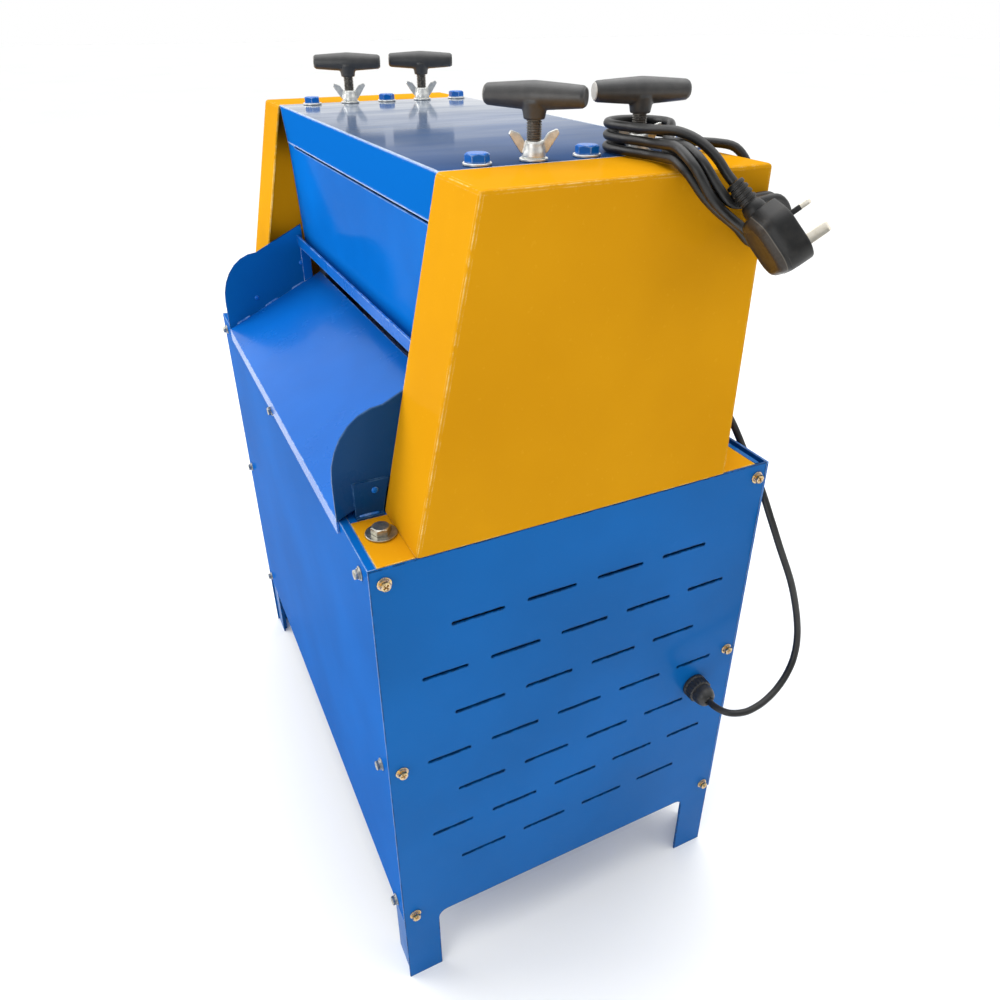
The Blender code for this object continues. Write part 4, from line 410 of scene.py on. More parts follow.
polyamide = mouldedPlastic("mouldedPolyamide", plastics["polyamide"])
whiteCap = mouldedPlastic("mouldedEndPlug", plastics["whiteCap"])
greenAbs = mouldedPlastic("greenAbs", plastics["greenAbs"])
redAbs = mouldedPlastic("redAbs", plastics["redAbs"])
print("materials done")

# Shapes

alongX = Matrix(((0, 0, 1, 0), (1, 0, 0, 0), (0, 1, 0, 0), (0, 0, 0, 1)))
alongY = Matrix(((1, 0, 0, 0), (0, 0, -1, 0), (0, 1, 0, 0), (0, 0, 0, 1)))
alongZ = Matrix.Identity(4)


def turnTo(direction, side=None):
    # A turn whose Z lies along the direction.
    z = Vector(direction).normalized()
    x = Vector(side) if side else (Vector((0, 0, 1)) if abs(z.z) < 0.9 else Vector((1, 0, 0)))
    x = (x - z * x.dot(z)).normalized()
    return Matrix((x, z.cross(x), z)).transposed().to_4x4()


def finished(name, shape, material, place=(0, 0, 0), turn=alongZ, sharp=32):
    bmesh.ops.recalc_face_normals(shape, faces=shape.faces)
    mesh = bpy.data.meshes.new(name)
    shape.to_mesh(mesh)
    shape.free()
    mesh.shade_smooth()
    mesh.set_sharp_from_angle(angle=math.radians(sharp))
    mesh.materials.append(material)
    return placed(name, mesh, place, turn)


def placed(name, mesh, place, turn=alongZ):
    obj = bpy.data.objects.new(name, mesh)
    obj.matrix_world = Matrix.Translation(place) @ turn
    scene.collection.objects.link(obj)
    return obj


def rings(shape, loops, closed=False, caps=(True, True)):
    # Skins rings of points; a ring of one point is a pole.
    made = [[shape.verts.new(point) for point in loop] for loop in loops]
    pairs = list(zip(made, made[1:]))
    if closed:
        pairs.append((made[-1], made[0]))
    for a, b in pairs:
        count = max(len(a), len(b))
        for i in range(count):
            j = (i + 1) % count
            corners = []
            for vert in (a[i % len(a)], a[j % len(a)], b[j % len(b)], b[i % len(b)]):
                if vert not in corners:
                    corners.append(vert)
            if len(corners) > 2:
                shape.faces.new(corners)
    if not closed:
        for loop, cap in zip((made[0], made[-1]), caps):
            if cap and len(loop) > 2:
                shape.faces.new(loop)
    return made


def spun(shape, profile, steps=32, place=(0, 0, 0), closed=False):
    # Rings of a (radius, height) profile round Z.
    loops = []
    for radius, height in profile:
        if radius == 0:
            loops.append([Vector(place) + Vector((0, 0, height))])
        else:
            loops.append([
                Vector(place) + Vector((
                    radius * math.cos(2 * math.pi * i / steps), radius * math.sin(2 * math.pi * i / steps), height,
                )) for i in range(steps)
            ])
    rings(shape, loops, closed)


def lathe(name, profile, material, place, turn=alongZ, steps=32, closed=False):
    shape = bmesh.new()
    spun(shape, profile, steps, closed=closed)
    return finished(name, shape, material, place, turn)


def roundedLoop(corners, radii, steps=5):
    points = []
    for i, corner in enumerate(corners):
        here = Vector(corner)
        back = (Vector(corners[i - 1]) - here).normalized()
        ahead = (Vector(corners[(i + 1) % len(corners)]) - here).normalized()
        half = back.angle(ahead) / 2
        centre = here + (back + ahead).normalized() * (radii[i] / math.sin(half))
        first = here + back * (radii[i] / math.tan(half)) - centre
        turn = math.pi - 2 * half
        side = 1 if back.x * ahead.y - back.y * ahead.x < 0 else -1
        for step in range(steps + 1):
            angle = side * turn * step / steps
            c, s = math.cos(angle), math.sin(angle)
            points.append((centre.x + first.x * c - first.y * s, centre.y + first.x * s + first.y * c))
    return points


def slab(shape, outline, layers, middle=(0, 0)):
    # Stacks an outline at (height, scale) layers.
    loops = []
    for height, scale in layers:
        loops.append([
            Vector((middle[0] + (x - middle[0]) * scale, middle[1] + (y - middle[1]) * scale, height))
            for x, y in outline
        ])
    rings(shape, loops)


def hexHead(shape, radius, low, high, steps=12):
    # A hexagon head whose top corners are turned off.
    def loop(corner, flat, cornerZ, flatZ):
        points = []
        for i in range(steps):
            reach, z = (corner, cornerZ) if i % 2 == 0 else (flat, flatZ)
            angle = 2 * math.pi * i / steps
            points.append(Vector((reach * math.cos(angle), reach * math.sin(angle), z)))
        return points
    flat = radius * math.cos(math.pi / 6)
    drop = (high - low) * 0.18
    return [
        loop(radius * 0.97, flat * 0.97, low, low), loop(radius, flat, low + drop * 0.4, low + drop * 0.4),
        loop(radius, flat, high - drop, high - drop * 0.25), loop(flat * 0.93, flat * 0.93, high, high),
    ]


def soften(obj, voxel, repeats):
    # Melts joined pieces into one moulded or cast body.
    remesh = obj.modifiers.new("melt", "REMESH")
    remesh.mode = "VOXEL"
    remesh.voxel_size = voxel
    smooth = obj.modifiers.new("smooth", "SMOOTH")
    smooth.factor = 0.5
    smooth.iterations = repeats
    graph = bpy.context.evaluated_depsgraph_get()
    mesh = bpy.data.meshes.new_from_object(obj.evaluated_get(graph))
    mesh.shade_smooth()
    obj.modifiers.clear()
    obj.data = mesh
    return obj

# Mains cord: one cord from the gland to the plug, up the back and wound in two loops round the rear
# right screw. Its route is the part's own.


cord = {
    "radius": 3.6 * millimetre, "gap": 0.3 * millimetre, "gland": (0.3657, 0.1488, 0.2927), "step": 0.0165,
    "route": (
        (0.3813, 0.1507, 0.2931), (0.3915, 0.1590, 0.2940), (0.3965, 0.1745, 0.2950), (0.3955, 0.1980, 0.2985),
        (0.3910, 0.2210, 0.3080), (0.3840, 0.2405, 0.3250), (0.3770, 0.2480, 0.3530), (0.3680, 0.2360, 0.4140),
        (0.3560, 0.2170, 0.4680), (0.3450, 0.2090, 0.4980), (0.3260, 0.2065, 0.5260), (0.3050, 0.2062, 0.5440),
        (0.2880, 0.2050, 0.5630), (0.2810, 0.1950, 0.5850), (0.2800, 0.1780, 0.6060), (0.2840, 0.1660, 0.6330),
        (0.2930, 0.1600, 0.6800), (0.3000, 0.1585, 0.7400), (0.3030, 0.1585, 0.7900), (0.3030, 0.1582, 0.8150),
        (0.2998, 0.1560, 0.8270), (0.2935, 0.1513, 0.8370), (0.2845, 0.1448, 0.8418),
    ),
    "hankStart": (0.2718, 0.1345, 0.8418),
    "spine": (
        (0.2460, 0.0850, 0.8385), (0.2770, 0.0775, 0.8385), (0.3050, 0.0695, 0.8390), (0.3270, 0.0635, 0.8413),
        (0.3430, 0.0615, 0.8390), (0.3510, 0.0665, 0.8305), (0.3520, 0.0790, 0.8180), (0.3480, 0.0960, 0.8072),
        (0.3440, 0.1180, 0.8005), (0.3422, 0.1400, 0.7930),
    ),
    "layer": 8.8 * millimetre, "waist": 4.2 * millimetre, "topRadius": 0.0252, "foldRadius": 0.0180,
    "taper": 0.058, "foldTaper": 0.048, "climb": (0.014, 0.060), "turnOver": (0.075, 0.130), "turns": 2,
    "shares": (0.11, 0.24, 0.38, 0.46, 0.54, 0.63, 0.73, 0.87),
    "tail": (
        (0.2710, 0.0655, 0.8560), (0.2965, 0.0660, 0.8575), (0.3170, 0.0715, 0.8580), (0.3335, 0.0780, 0.8530),
        (0.3465, 0.0845, 0.8430),
    ),
}
plug = {
    "cordEnd": (0.3588, 0.0925, 0.8274), "middle": (0.3880, 0.1122, 0.7910), "ahead": (0.577, 0.353, -0.737),
    "pinsWay": (0.233, 0.793, 0.563), "length": 50 * millimetre, "width": 49 * millimetre,
    "thick": 26 * millimetre, "neck": 21 * millimetre, "shoulder": 13 * millimetre, "nose": 9 * millimetre,
    "relief": (5.2 * millimetre, 8.5 * millimetre), "pinSpacing": 22.23 * millimetre, "pinBack": 9 * millimetre,
}


def eased(share):
    share = min(max(share, 0), 1)
    return share * share * (3 - 2 * share)


def along(points, lengths, distance):
    for i in range(1, len(points)):
        if lengths[i] >= distance or i == len(points) - 1:
            return points[i - 1].lerp(points[i], (distance - lengths[i - 1]) / (lengths[i] - lengths[i - 1]))


def measured(points):
    lengths = [0]
    for a, b in zip(points, points[1:]):
        lengths.append(lengths[-1] + (b - a).length)
    return lengths


def splined(route, perPiece=12):
    # A centripetal spline through the points.
    points = [Vector(point) for point in route]
    points = [2 * points[0] - points[1], *points, 2 * points[-1] - points[-2]]
    fine = []
    for i in range(1, len(points) - 2):
        p0, p1, p2, p3 = points[i - 1:i + 3]
        t1 = (p1 - p0).length ** 0.5
        t2 = t1 + (p2 - p1).length ** 0.5
        t3 = t2 + (p3 - p2).length ** 0.5
        for n in range(perPiece):
            t = t1 + (t2 - t1) * n / perPiece
            a1, a2, a3 = p0.lerp(p1, t / t1), p1.lerp(p2, (t - t1) / (t2 - t1)), p2.lerp(p3, (t - t2) / (t3 - t2))
            b1, b2 = a1.lerp(a2, t / t2), a2.lerp(a3, (t - t1) / (t3 - t1))
            fine.append(b1.lerp(b2, (t - t1) / (t2 - t1)))
    fine.append(points[-2])
    return fine


def evenly(route, step):
    fine = splined(route)
    lengths = measured(fine)
    count = max(round(lengths[-1] / step), 1)
    return [along(fine, lengths, lengths[-1] * n / count) for n in range(count + 1)]


def onTurn(angle, layer):
    reach = cord["topRadius"]
    return Vector(cord["spine"][0]) + Vector((reach * math.cos(angle), reach * math.sin(angle), layer * cord["layer"]))


def firstTouch():
    away = (Vector(cord["hankStart"]) - Vector(cord["spine"][0])).xy
    return math.atan2(away.y, away.x) + math.acos(cord["topRadius"] / away.length)


def hankHeading():
    way = onTurn(firstTouch(), 0) - Vector(cord["hankStart"])
    way.z = 0
    return way.normalized()


def reliefStart():
    middle, ahead = Vector(plug["middle"]), Vector(plug["ahead"]).normalized()
    return middle - ahead * (plug["length"] / 2)


def reliefWay():
    return (reliefStart() - Vector(plug["cordEnd"])).normalized()


def hankRoute():
    spine = evenly(cord["spine"], cord["waist"] / 2)
    lengths = measured(spine)
    whole = lengths[-1]

    def frameAt(distance):
        near, far = max(distance - cord["waist"], 0), min(distance + cord["waist"], whole)
        ahead = (along(spine, lengths, far) - along(spine, lengths, near)).normalized()
        start, end = cord["turnOver"]
        lean = eased((distance - start) / (end - start))
        across = Vector((lean, 0, 1 - lean)).cross(ahead).normalized()
        return along(spine, lengths, distance), ahead, across, ahead.cross(across)

    def halfWidth(distance):
        upper = 1 - eased(distance / cord["taper"])
        lower = eased((distance - whole + cord["foldTaper"]) / cord["foldTaper"])
        waist = cord["waist"]
        return waist + (cord["topRadius"] - waist) * upper + (cord["foldRadius"] - waist) * lower

    def beside(distance, side, layer):
        here, _, across, outward = frameAt(distance)
        return here + across * side + outward * layer * cord["layer"]

    touch = firstTouch()
    _, ahead, _, _ = frameAt(0)
    rear = math.atan2(ahead.y, ahead.x) + math.pi / 2
    front = rear + math.pi
    start = Vector(cord["hankStart"])
    points = [start, start + hankHeading() * (2 * cord["radius"]), onTurn(touch, 0)]
    points += [onTurn(touch + (front - touch) * n / 4, 0) for n in range(1, 5)]
    low, high = cord["climb"]
    for turn in range(cord["turns"]):
        points += [beside(whole * share, -halfWidth(whole * share), turn) for share in cord["shares"]]
        here, ahead, across, outward = frameAt(whole)
        for n in range(4):
            angle = math.pi * n / 3
            fold = ahead * math.sin(angle) - across * math.cos(angle)
            points.append(here + fold * cord["foldRadius"] + outward * turn * cord["layer"])
        for share in reversed(cord["shares"]):
            climb = 1 - eased((whole * share - low) / (high - low))
            points.append(beside(whole * share, halfWidth(whole * share), turn + climb))
        points += [onTurn(rear + (front - rear) * n / 5, turn + 1) for n in range(6)]
    way = reliefWay()
    last = Vector(plug["cordEnd"]) - way * cord["gap"]
    points += [Vector(point) for point in cord["tail"]]
    return points + [last - way * (2 * cord["radius"]), last]


def cordRoute():
    exitPoint = Vector(cord["gland"]) + Vector((cord["gap"], 0, 0))
    end = Vector(cord["hankStart"]) - hankHeading() * cord["gap"]
    straight = Vector((2 * cord["radius"], 0, 0))
    last = end - hankHeading() * (2 * cord["radius"])
    run = evenly([exitPoint + straight, *cord["route"], last], cord["step"])
    return [exitPoint, *run, *hankRoute()]


def tubeAlong(shape, points, radius, sides=16, radii=None):
    # A tube whose rings turn with the route, without twist.
    way = (points[1] - points[0]).normalized()
    up = way.orthogonal().normalized()
    loops = []
    for i, point in enumerate(points):
        before = points[max(i - 1, 0)]
        after = points[min(i + 1, len(points) - 1)]
        way = (after - before).normalized()
        up = (up - way * up.dot(way)).normalized()
        over = way.cross(up)
        reach = radii[i] if radii else radius
        loops.append([
            point + (up * math.cos(2 * math.pi * n / sides) + over * math.sin(2 * math.pi * n / sides)) * reach
            for n in range(sides)
        ])
    rings(shape, loops)


def makeCord():
    route = cordRoute()
    path = evenly(route, 3.5 * millimetre)
    shape = bmesh.new()
    tubeAlong(shape, path, cord["radius"])
    piece = finished("mainsCord", shape, cordPvc)
    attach(piece, "cabinet")
    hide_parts("cord", "cord_hank")
    return piece, path


def makePlug():
    ahead = Vector(plug["ahead"]).normalized()
    pinsWay = Vector(plug["pinsWay"])
    pinsWay = (pinsWay - ahead * pinsWay.dot(ahead)).normalized()
    turn = Matrix((ahead, pinsWay.cross(ahead), pinsWay)).transposed().to_4x4()
    middle = Vector(plug["middle"])
    back, front = -plug["length"] / 2, plug["length"] / 2
    neck, half = plug["neck"] / 2, plug["width"] / 2
    shoulder, nose = back + plug["shoulder"], front - plug["nose"]
    corners = [
        (back, -neck), (shoulder, -half), (nose, -half), (front, plug["nose"] - half),
        (front, half - plug["nose"]), (nose, half), (shoulder, half), (back, neck),
    ]
    loop = roundedLoop(corners, [0.003, 0.016, 0.014, 0.014, 0.014, 0.014, 0.016, 0.003], 7)
    deep = plug["thick"] / 2
    shape = bmesh.new()
    slab(shape, loop, [
        (-deep + 0.0012, 0.60), (-deep + 0.0007, 0.66), (-deep, 0.70), (-deep + 0.0002, 0.80), (-deep + 0.0022, 0.88),
        (-deep + 0.0065, 0.955), (-deep + 0.0078, 0.965), (-deep + 0.0082, 0.985), (0.002, 1.0), (deep - 0.0016, 1.0),
        (deep - 0.0004, 0.985), (deep, 0.96),
    ], (0.001, 0))
    body = finished("plugBody", shape, plugPvc, middle, turn, 50)

    start = Vector(plug["cordEnd"])
    end = reliefStart() + ahead * 3 * millimetre
    long = (end - start).length
    small, big = plug["relief"]
    profile = [(0, 0), (small * 0.8, 0), (small * 1.25, 0.0006)]
    ribs = 4
    for n in range(ribs):
        at = 0.001 + (long * 0.62) * n / ribs
        reach = small * 1.28 + (big * 0.86 - small * 1.28) * n / ribs
        profile += [(reach, at), (reach * 1.03, at + 0.0022), (reach * 0.86, at + 0.0026), (reach * 0.86, at + 0.0038)]
    profile += [(big * 0.88, long * 0.62 + 0.002), (big, long * 0.82), (big, long), (0, long)]
    collar = lathe("plugRelief", profile, plugPvc, start, turnTo(end - start), 28)

    pins, sleeves = bmesh.new(), bmesh.new()
    for across, place, wide, thick, reach, sleeved in (
        (plug["pinSpacing"] / 2, -plug["pinBack"], 6.35, 4.0, 17.7, True),
        (-plug["pinSpacing"] / 2, -plug["pinBack"], 6.35, 4.0, 17.7, True),
        (0, plug["pinSpacing"] - plug["pinBack"], 4.0, 8.0, 22.7, False),
    ):
        w, t, reach = wide * millimetre / 2, thick * millimetre / 2, reach * millimetre
        outline = [(place - t, across - w), (place + t, across - w), (place + t, across + w), (place - t, across + w)]
        outline = roundedLoop(outline, [0.0005] * 4, 2)
        layers = [(deep - 0.001, 1), (deep + reach - 0.0022, 1), (deep + reach - 0.0005, 0.82), (deep + reach, 0.66)]
        slab(pins, outline, layers, (place, across))
        if sleeved:
            slab(
                sleeves, outline, [(deep - 0.001, 1.02), (deep + 0.0095, 1.02), (deep + 0.0097, 0.99)], (place, across),
            )
    prongs = finished("plugPins", pins, nickel, middle, turn)
    covers = finished("plugPinSleeves", sleeves, plugPvc, middle, turn)
    for piece in (body, collar, prongs, covers):
        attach(piece, "cabinet")
    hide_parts("plug")
    return [body, collar, prongs, covers]


mainsCord, cordPath = makeCord()
plugPieces = makePlug()

# Cable gland: ribbed nut, domed clamp with its claws, and the locknut inside

gland = {
    "place": (0.338, 0.1488, 0.2927), "reach": 27.7 * millimetre, "nut": 14 * millimetre, "dome": 11.6 * millimetre,
    "nutLength": 13.5 * millimetre, "tip": 6.2 * millimetre, "ribs": 18,
}


def makeGland():
    shape = bmesh.new()
    steps = gland["ribs"] * 4
    gap = 0.3 * millimetre
    nutEnd = gap + gland["nutLength"]

    def ribbed(radius, depth, height):
        points = []
        for i in range(steps):
            reach = radius - (depth if i % 4 in (2, 3) else 0)
            angle = 2 * math.pi * i / steps
            points.append(Vector((reach * math.cos(angle), reach * math.sin(angle), height)))
        return points

    def plain(radius, height):
        return ribbed(radius, 0, height)

    nut, dome = gland["nut"], gland["dome"]
    loops = [
        plain(nut * 0.70, gap), plain(nut * 0.97, gap), plain(nut, gap + 0.0006), plain(nut, gap + 0.0030),
        plain(nut * 0.985, gap + 0.0034), ribbed(nut * 0.985, 0.0009, gap + 0.0040),
        ribbed(nut * 0.985, 0.0009, nutEnd - 0.0010), plain(nut * 0.90, nutEnd), plain(dome, nutEnd + 0.0001),
        plain(dome * 0.985, gland["reach"] - 0.0085), plain(dome * 0.93, gland["reach"] - 0.0055),
        plain(dome * 0.80, gland["reach"] - 0.0025), plain(gland["tip"] * 1.12, gland["reach"] - 0.0004),
        plain(gland["tip"] * 0.98, gland["reach"]), plain(gland["tip"] * 0.72, gland["reach"] - 0.0012),
        plain(gland["tip"] * 0.60, gland["reach"] - 0.0030),
    ]
    rings(shape, loops)
    body = finished("glandNut", shape, polyamide, gland["place"], alongX, 30)
    panel = 2.3 * millimetre
    shank = 9.7 * millimetre
    lock = lathe("glandLocknut", [
        (shank * 0.6, -panel - 0.0100), (shank, -panel - 0.0100), (shank, -panel - 0.0050),
        (nut * 0.93, -panel - 0.0048),
        (nut, -panel - 0.0040), (nut, -panel - 0.0005), (nut * 0.93, -panel), (shank, -panel), (shank, gap),
        (shank * 0.6, gap),
    ], polyamide, gland["place"], alongX, 6 * 6, True)
    for piece in (body, lock):
        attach(piece, "cabinet")
    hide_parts("cable_gland")


makeGland()
print("gland done")

# T grips, adjusting screws and wing nuts

screw = {
    "x": 0.246, "rows": {"front": -0.011, "rear": 0.085}, "axis": 0.880, "radius": 6 * millimetre,
    "pitch": 1.75 * millimetre, "root": 5.1 * millimetre, "top": 0.8772, "bottom": 0.6864, "thread": 0.740,
}
grip = {
    "half": 40 * millimetre, "middle": 10.4 * millimetre, "end": 7.9 * millimetre, "bossTop": 9.6 * millimetre,
    "bossBottom": 8.3 * millimetre, "bossLow": 0.8635, "voxel": 0.75 * millimetre,
    "yaw": {"front_right": 43, "front_left": 68, "rear_right": 78, "rear_left": 68},
}
wing = {
    "seat": 0.8343, "washer": 1.8 * millimetre, "hub": (9.0 * millimetre, 7.8 * millimetre, 12.5 * millimetre),
    "reach": 20 * millimetre, "top": 20.5 * millimetre, "width": 8.5 * millimetre, "thick": 3.4 * millimetre,
    "yaw": 76, "voxel": 0.55 * millimetre,
}


def gripMesh():
    # A tapered bar, barely bellied, on a short boss that flows into it.
    shape = bmesh.new()
    half, end, middle = grip["half"], grip["end"], grip["middle"]
    profile = [(0, half - 0.0007), (end - 0.0034, half - 0.0007), (end - 0.0030, half), (end - 0.0016, half)]
    count = 16
    for n in range(count + 1):
        share = 1 - 2 * n / count
        reach = end + (middle - end) * (1 - abs(share) ** 1.15)
        profile.append((reach, (half - 0.0020) * share))
    profile += [(end - 0.0016, -half), (end - 0.0030, -half), (end - 0.0034, -half + 0.0007), (0, -half + 0.0007)]
    loops = []
    steps = 40
    for radius, height in profile:
        if radius == 0:
            loops.append([Vector((height, 0, 0))])
        else:
            loops.append([
                Vector((
                    height, radius * math.cos(2 * math.pi * i / steps), radius * math.sin(2 * math.pi * i / steps),
                ))
                for i in range(steps)
            ])
    rings(shape, loops)
    low = grip["bossLow"] - screw["axis"]
    spun(shape, [
        (0, 0), (grip["bossTop"] * 1.12, -0.004), (grip["bossTop"], -0.0085), (grip["bossBottom"] * 1.02, low + 0.0022),
        (grip["bossBottom"], low + 0.0006), (grip["bossBottom"] - 0.0008, low), (0, low),
    ], 40)
    obj = finished("gripForm", shape, nylon)
    soften(obj, grip["voxel"], 4)
    mesh = obj.data
    bpy.data.objects.remove(obj)
    return mesh


def threadedRod(name, place):
    # A rolled thread over the upper stretch, and a plain shank below it, hidden in the machine.
    shape = bmesh.new()
    base = place.z
    low, high, bottom = screw["thread"] - base, screw["top"] - base, screw["bottom"] - base
    crest, root, pitch, steps = screw["radius"], screw["root"], screw["pitch"], 20
    profile = ((0.0, root), (0.32, crest), (0.50, crest), (0.82, root))
    count = int((high - low) / pitch * steps)
    strands = [[] for _ in profile]
    for n in range(count + 1):
        angle = 2 * math.pi * n / steps
        height = low + pitch * n / steps
        fade = min(1, n / steps, (count - n) / steps)
        for strand, (shift, reach) in zip(strands, profile):
            radius = root + (reach - root) * fade
            strand.append(shape.verts.new((
                radius * math.cos(angle), radius * math.sin(angle), min(height + pitch * shift, high),
            )))
    for n in range(count):
        for a, b in zip(strands, strands[1:]):
            shape.faces.new((a[n], a[n + 1], b[n + 1], b[n]))
        if n + steps < count:
            last, first = strands[-1], strands[0]
            shape.faces.new((last[n], last[n + 1], first[n + 1 + steps], first[n + steps]))
    spun(shape, [
        (0, high), (root * 0.99, high), (root * 0.99, low), (crest, low - 0.001), (crest, bottom + 0.0015),
        (crest - 0.0015, bottom), (0, bottom),
    ], steps)
    return finished(name, shape, blackOxide, place, alongZ, 40)


def wingMesh():
    # A hot-forged hub with two thin wings that lean out.
    shape = bmesh.new()
    bottom, top, high = wing["hub"]
    spun(shape, [
        (0, 0), (bottom, 0), (bottom + 0.0004, 0.0012), (bottom, 0.0045), (top, 0.0085), (top - 0.0004, high - 0.0012),
        (top - 0.0014, high), (0, high),
    ], 32)
    thick = wing["thick"] / 2
    for side in (1, -1):
        corners = [
            (side * (top - 0.003), 0.0030), (side * (bottom + 0.0012), 0.0030),
            (side * wing["reach"], wing["top"] - 0.0030),
            (side * (wing["reach"] - 0.0016), wing["top"]),
            (side * (wing["reach"] - wing["width"]), wing["top"] - 0.0026),
            (side * (top - 0.0022), high - 0.0028),
        ]
        if side < 0:
            corners.reverse()
        outline = roundedLoop(corners, [0.0005, 0.001, 0.0011, 0.0011, 0.0018, 0.0008], 3)
        loops = [[Vector((x, y, z)) for x, z in outline] for y in (-thick, thick)]
        rings(shape, loops)
    obj = finished("wingForm", shape, brightZinc)
    soften(obj, wing["voxel"], 3)
    mesh = obj.data
    bpy.data.objects.remove(obj)
    return mesh


def makeScrews():
    form, wings = gripMesh(), wingMesh()
    for row, y in screw["rows"].items():
        for side, sign in (("right", 1), ("left", -1)):
            name = f"{row}_{side}"
            place = Vector((sign * screw["x"], y, screw["axis"]))
            yaw = math.radians(grip["yaw"][name])
            turn = Matrix.Rotation(yaw, 4, "Z")
            bar = placed(f"tGrip_{name}", form, place, turn)
            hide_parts(f"{name}_t_grip")
            rod = threadedRod(f"adjustingScrew_{name}", place)
            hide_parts(f"{name}_adjusting_screw")
            pieces = [bar, rod]
            for end in (1, -1):
                # The bar's ends are closed with a pressed-in plug; one shows pale.
                look = whiteCap if end < 0 else nylon
                spot = place + turn.to_3x3() @ Vector((end * (grip["half"] - 0.0009), 0, 0))
                cap = lathe(f"gripCap_{name}_{'far' if end > 0 else 'near'}", [
                    (0, 0.0011), (grip["end"] - 0.0018, 0.0011), (grip["end"] - 0.0012, 0.0006),
                    (grip["end"] - 0.0012, -0.0020),
                    (0, -0.0020),
                ], look, spot, turn @ turnTo((end, 0, 0)), 28)
                pieces.append(cap)
            for piece in pieces:
                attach(piece, f"{name}_screw")
            seat = Vector((place.x, y, wing["seat"]))
            nut = placed(
                f"wingNut_{name}", wings, seat + Vector((0, 0, wing["washer"])),
                Matrix.Rotation(math.radians(wing["yaw"]), 4, "Z"),
            )
            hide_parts(f"{name}_wing_nut")
            washer = flatWasher(f"wingWasher_{name}", seat, 11.2 * millimetre, screw["radius"], wing["washer"])
            for piece in (nut, washer):
                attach(piece, f"{name}_wing_nut_body")


def flatWasher(name, seat, outer, inner, thick, material=None, turn=alongZ):
    edge = min(0.0003, thick / 4)
    return lathe(name, [
        (inner, 0), (outer - edge, 0), (outer, edge), (outer, thick - edge), (outer - edge, thick), (inner, thick),
    ], material or brightZinc, seat, turn, 36, True)


makeScrews()
print("screws done")

# Bolts

bolt = {
    "rows": {"front": -0.059, "middle": 0.037, "rear": 0.133}, "seat": 0.8343, "head": 9.8 * millimetre,
    "high": 6.8 * millimetre, "washer": 11.2 * millimetre, "thick": 1.8 * millimetre,
}
baseBolt = {
    "place": (0.291, -0.1715, 0.5600), "head": 8.6 * millimetre, "high": 6.2 * millimetre,
    "washer": 13.5 * millimetre, "thick": 1.8 * millimetre,
}


def hexBolt(name, seat, size, headLook, washerLook, node, yaw):
    shape = bmesh.new()
    rings(shape, hexHead(shape, size["head"], size["thick"], size["thick"] + size["high"]))
    head = finished(f"{name}Head", shape, headLook, seat, Matrix.Rotation(math.radians(yaw), 4, "Z"), 25)
    washer = flatWasher(f"{name}Washer", seat, size["washer"], size["head"] * 0.5, size["thick"], washerLook)
    for piece in (head, washer):
        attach(piece, "cabinet")
    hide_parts(node)


def makeBolts():
    for side, sign in (("right", 1), ("left", -1)):
        for number, (row, y) in enumerate(bolt["rows"].items()):
            seat = Vector((sign * screw["x"], y, bolt["seat"]))
            yaw = (12, 47, 25)[number] + (0 if sign > 0 else 31)
            hexBolt(
                f"topBolt_{side}_{row}", seat, bolt, blueEnamel, brightZinc, f"{side}_{row}_top_bolt",
                yaw,
            )
        x, y, z = baseBolt["place"]
        seat = Vector((sign * x, y, z))
        hexBolt(f"baseBolt_{side}", seat, baseBolt, boltZinc, boltZinc, f"{side}_base_bolt", 20)


makeBolts()
print("bolts done")

# Panel screws: hexagon heads with a cross recess on a spring washer and a flat washer

panelScrew = {
    "head": 4.6 * millimetre, "high": 3.4 * millimetre, "spring": (5.0 * millimetre, 1.3 * millimetre),
    "washer": (6.2 * millimetre, 1.0 * millimetre), "sideY": (-0.186, 0.188), "sideZ": (0.546, 0.329, 0.110),
    "frontX": (-0.314, 0.314), "frontZ": (0.544, 0.321, 0.110), "middle": (-0.013, 0.547),
}


def crossHead(shape, low, high, radius):
    # A hexagon head with a shallow dish and a cross recess in it.
    loops = hexHead(shape, radius, low, high)
    made = rings(shape, loops[:-1], caps=(True, False))
    steps = 24
    rim = radius * math.cos(math.pi / 6) * 0.93
    discs = []
    for share in (1.0, 0.84, 0.72, 0.6, 0.48, 0.36, 0.24, 0.12):
        loop = []
        for i in range(steps):
            angle = 2 * math.pi * i / steps
            x, y = rim * share * math.cos(angle), rim * share * math.sin(angle)
            dish = 0.0004 * eased((0.95 - share) / 0.25)
            arm = min(abs(x), abs(y)) < rim * 0.16 and max(abs(x), abs(y)) < rim * 0.62
            loop.append(Vector((x, y, high - dish - (0.0016 if arm else 0))))
        discs.append(loop)
    inner = rings(shape, discs + [[Vector((0, 0, high - 0.0020))]], caps=(False, False))
    outer = made[-1]
    for i in range(12):
        a, b = outer[i], outer[(i + 1) % 12]
        p, q, r = inner[0][2 * i], inner[0][2 * i + 1], inner[0][(2 * i + 2) % steps]
        shape.faces.new((a, b, r, q, p))


def screwMesh(material, name):
    shape = bmesh.new()
    springR, springH = panelScrew["spring"]
    washerR, washerH = panelScrew["washer"]
    spun(shape, [
        (0.003, 0), (washerR - 0.0002, 0), (washerR, 0.0002), (washerR, washerH - 0.0002),
        (washerR - 0.0002, washerH), (0.003, washerH),
    ], 28, closed=True)
    spun(shape, [
        (0.003, washerH), (springR, washerH), (springR, washerH + springH), (0.003, washerH + springH),
    ], 28, closed=True)
    low = washerH + springH
    crossHead(shape, low, low + panelScrew["high"], panelScrew["head"])
    obj = finished(name, shape, material, sharp=30)
    mesh = obj.data
    bpy.data.objects.remove(obj)
    return mesh


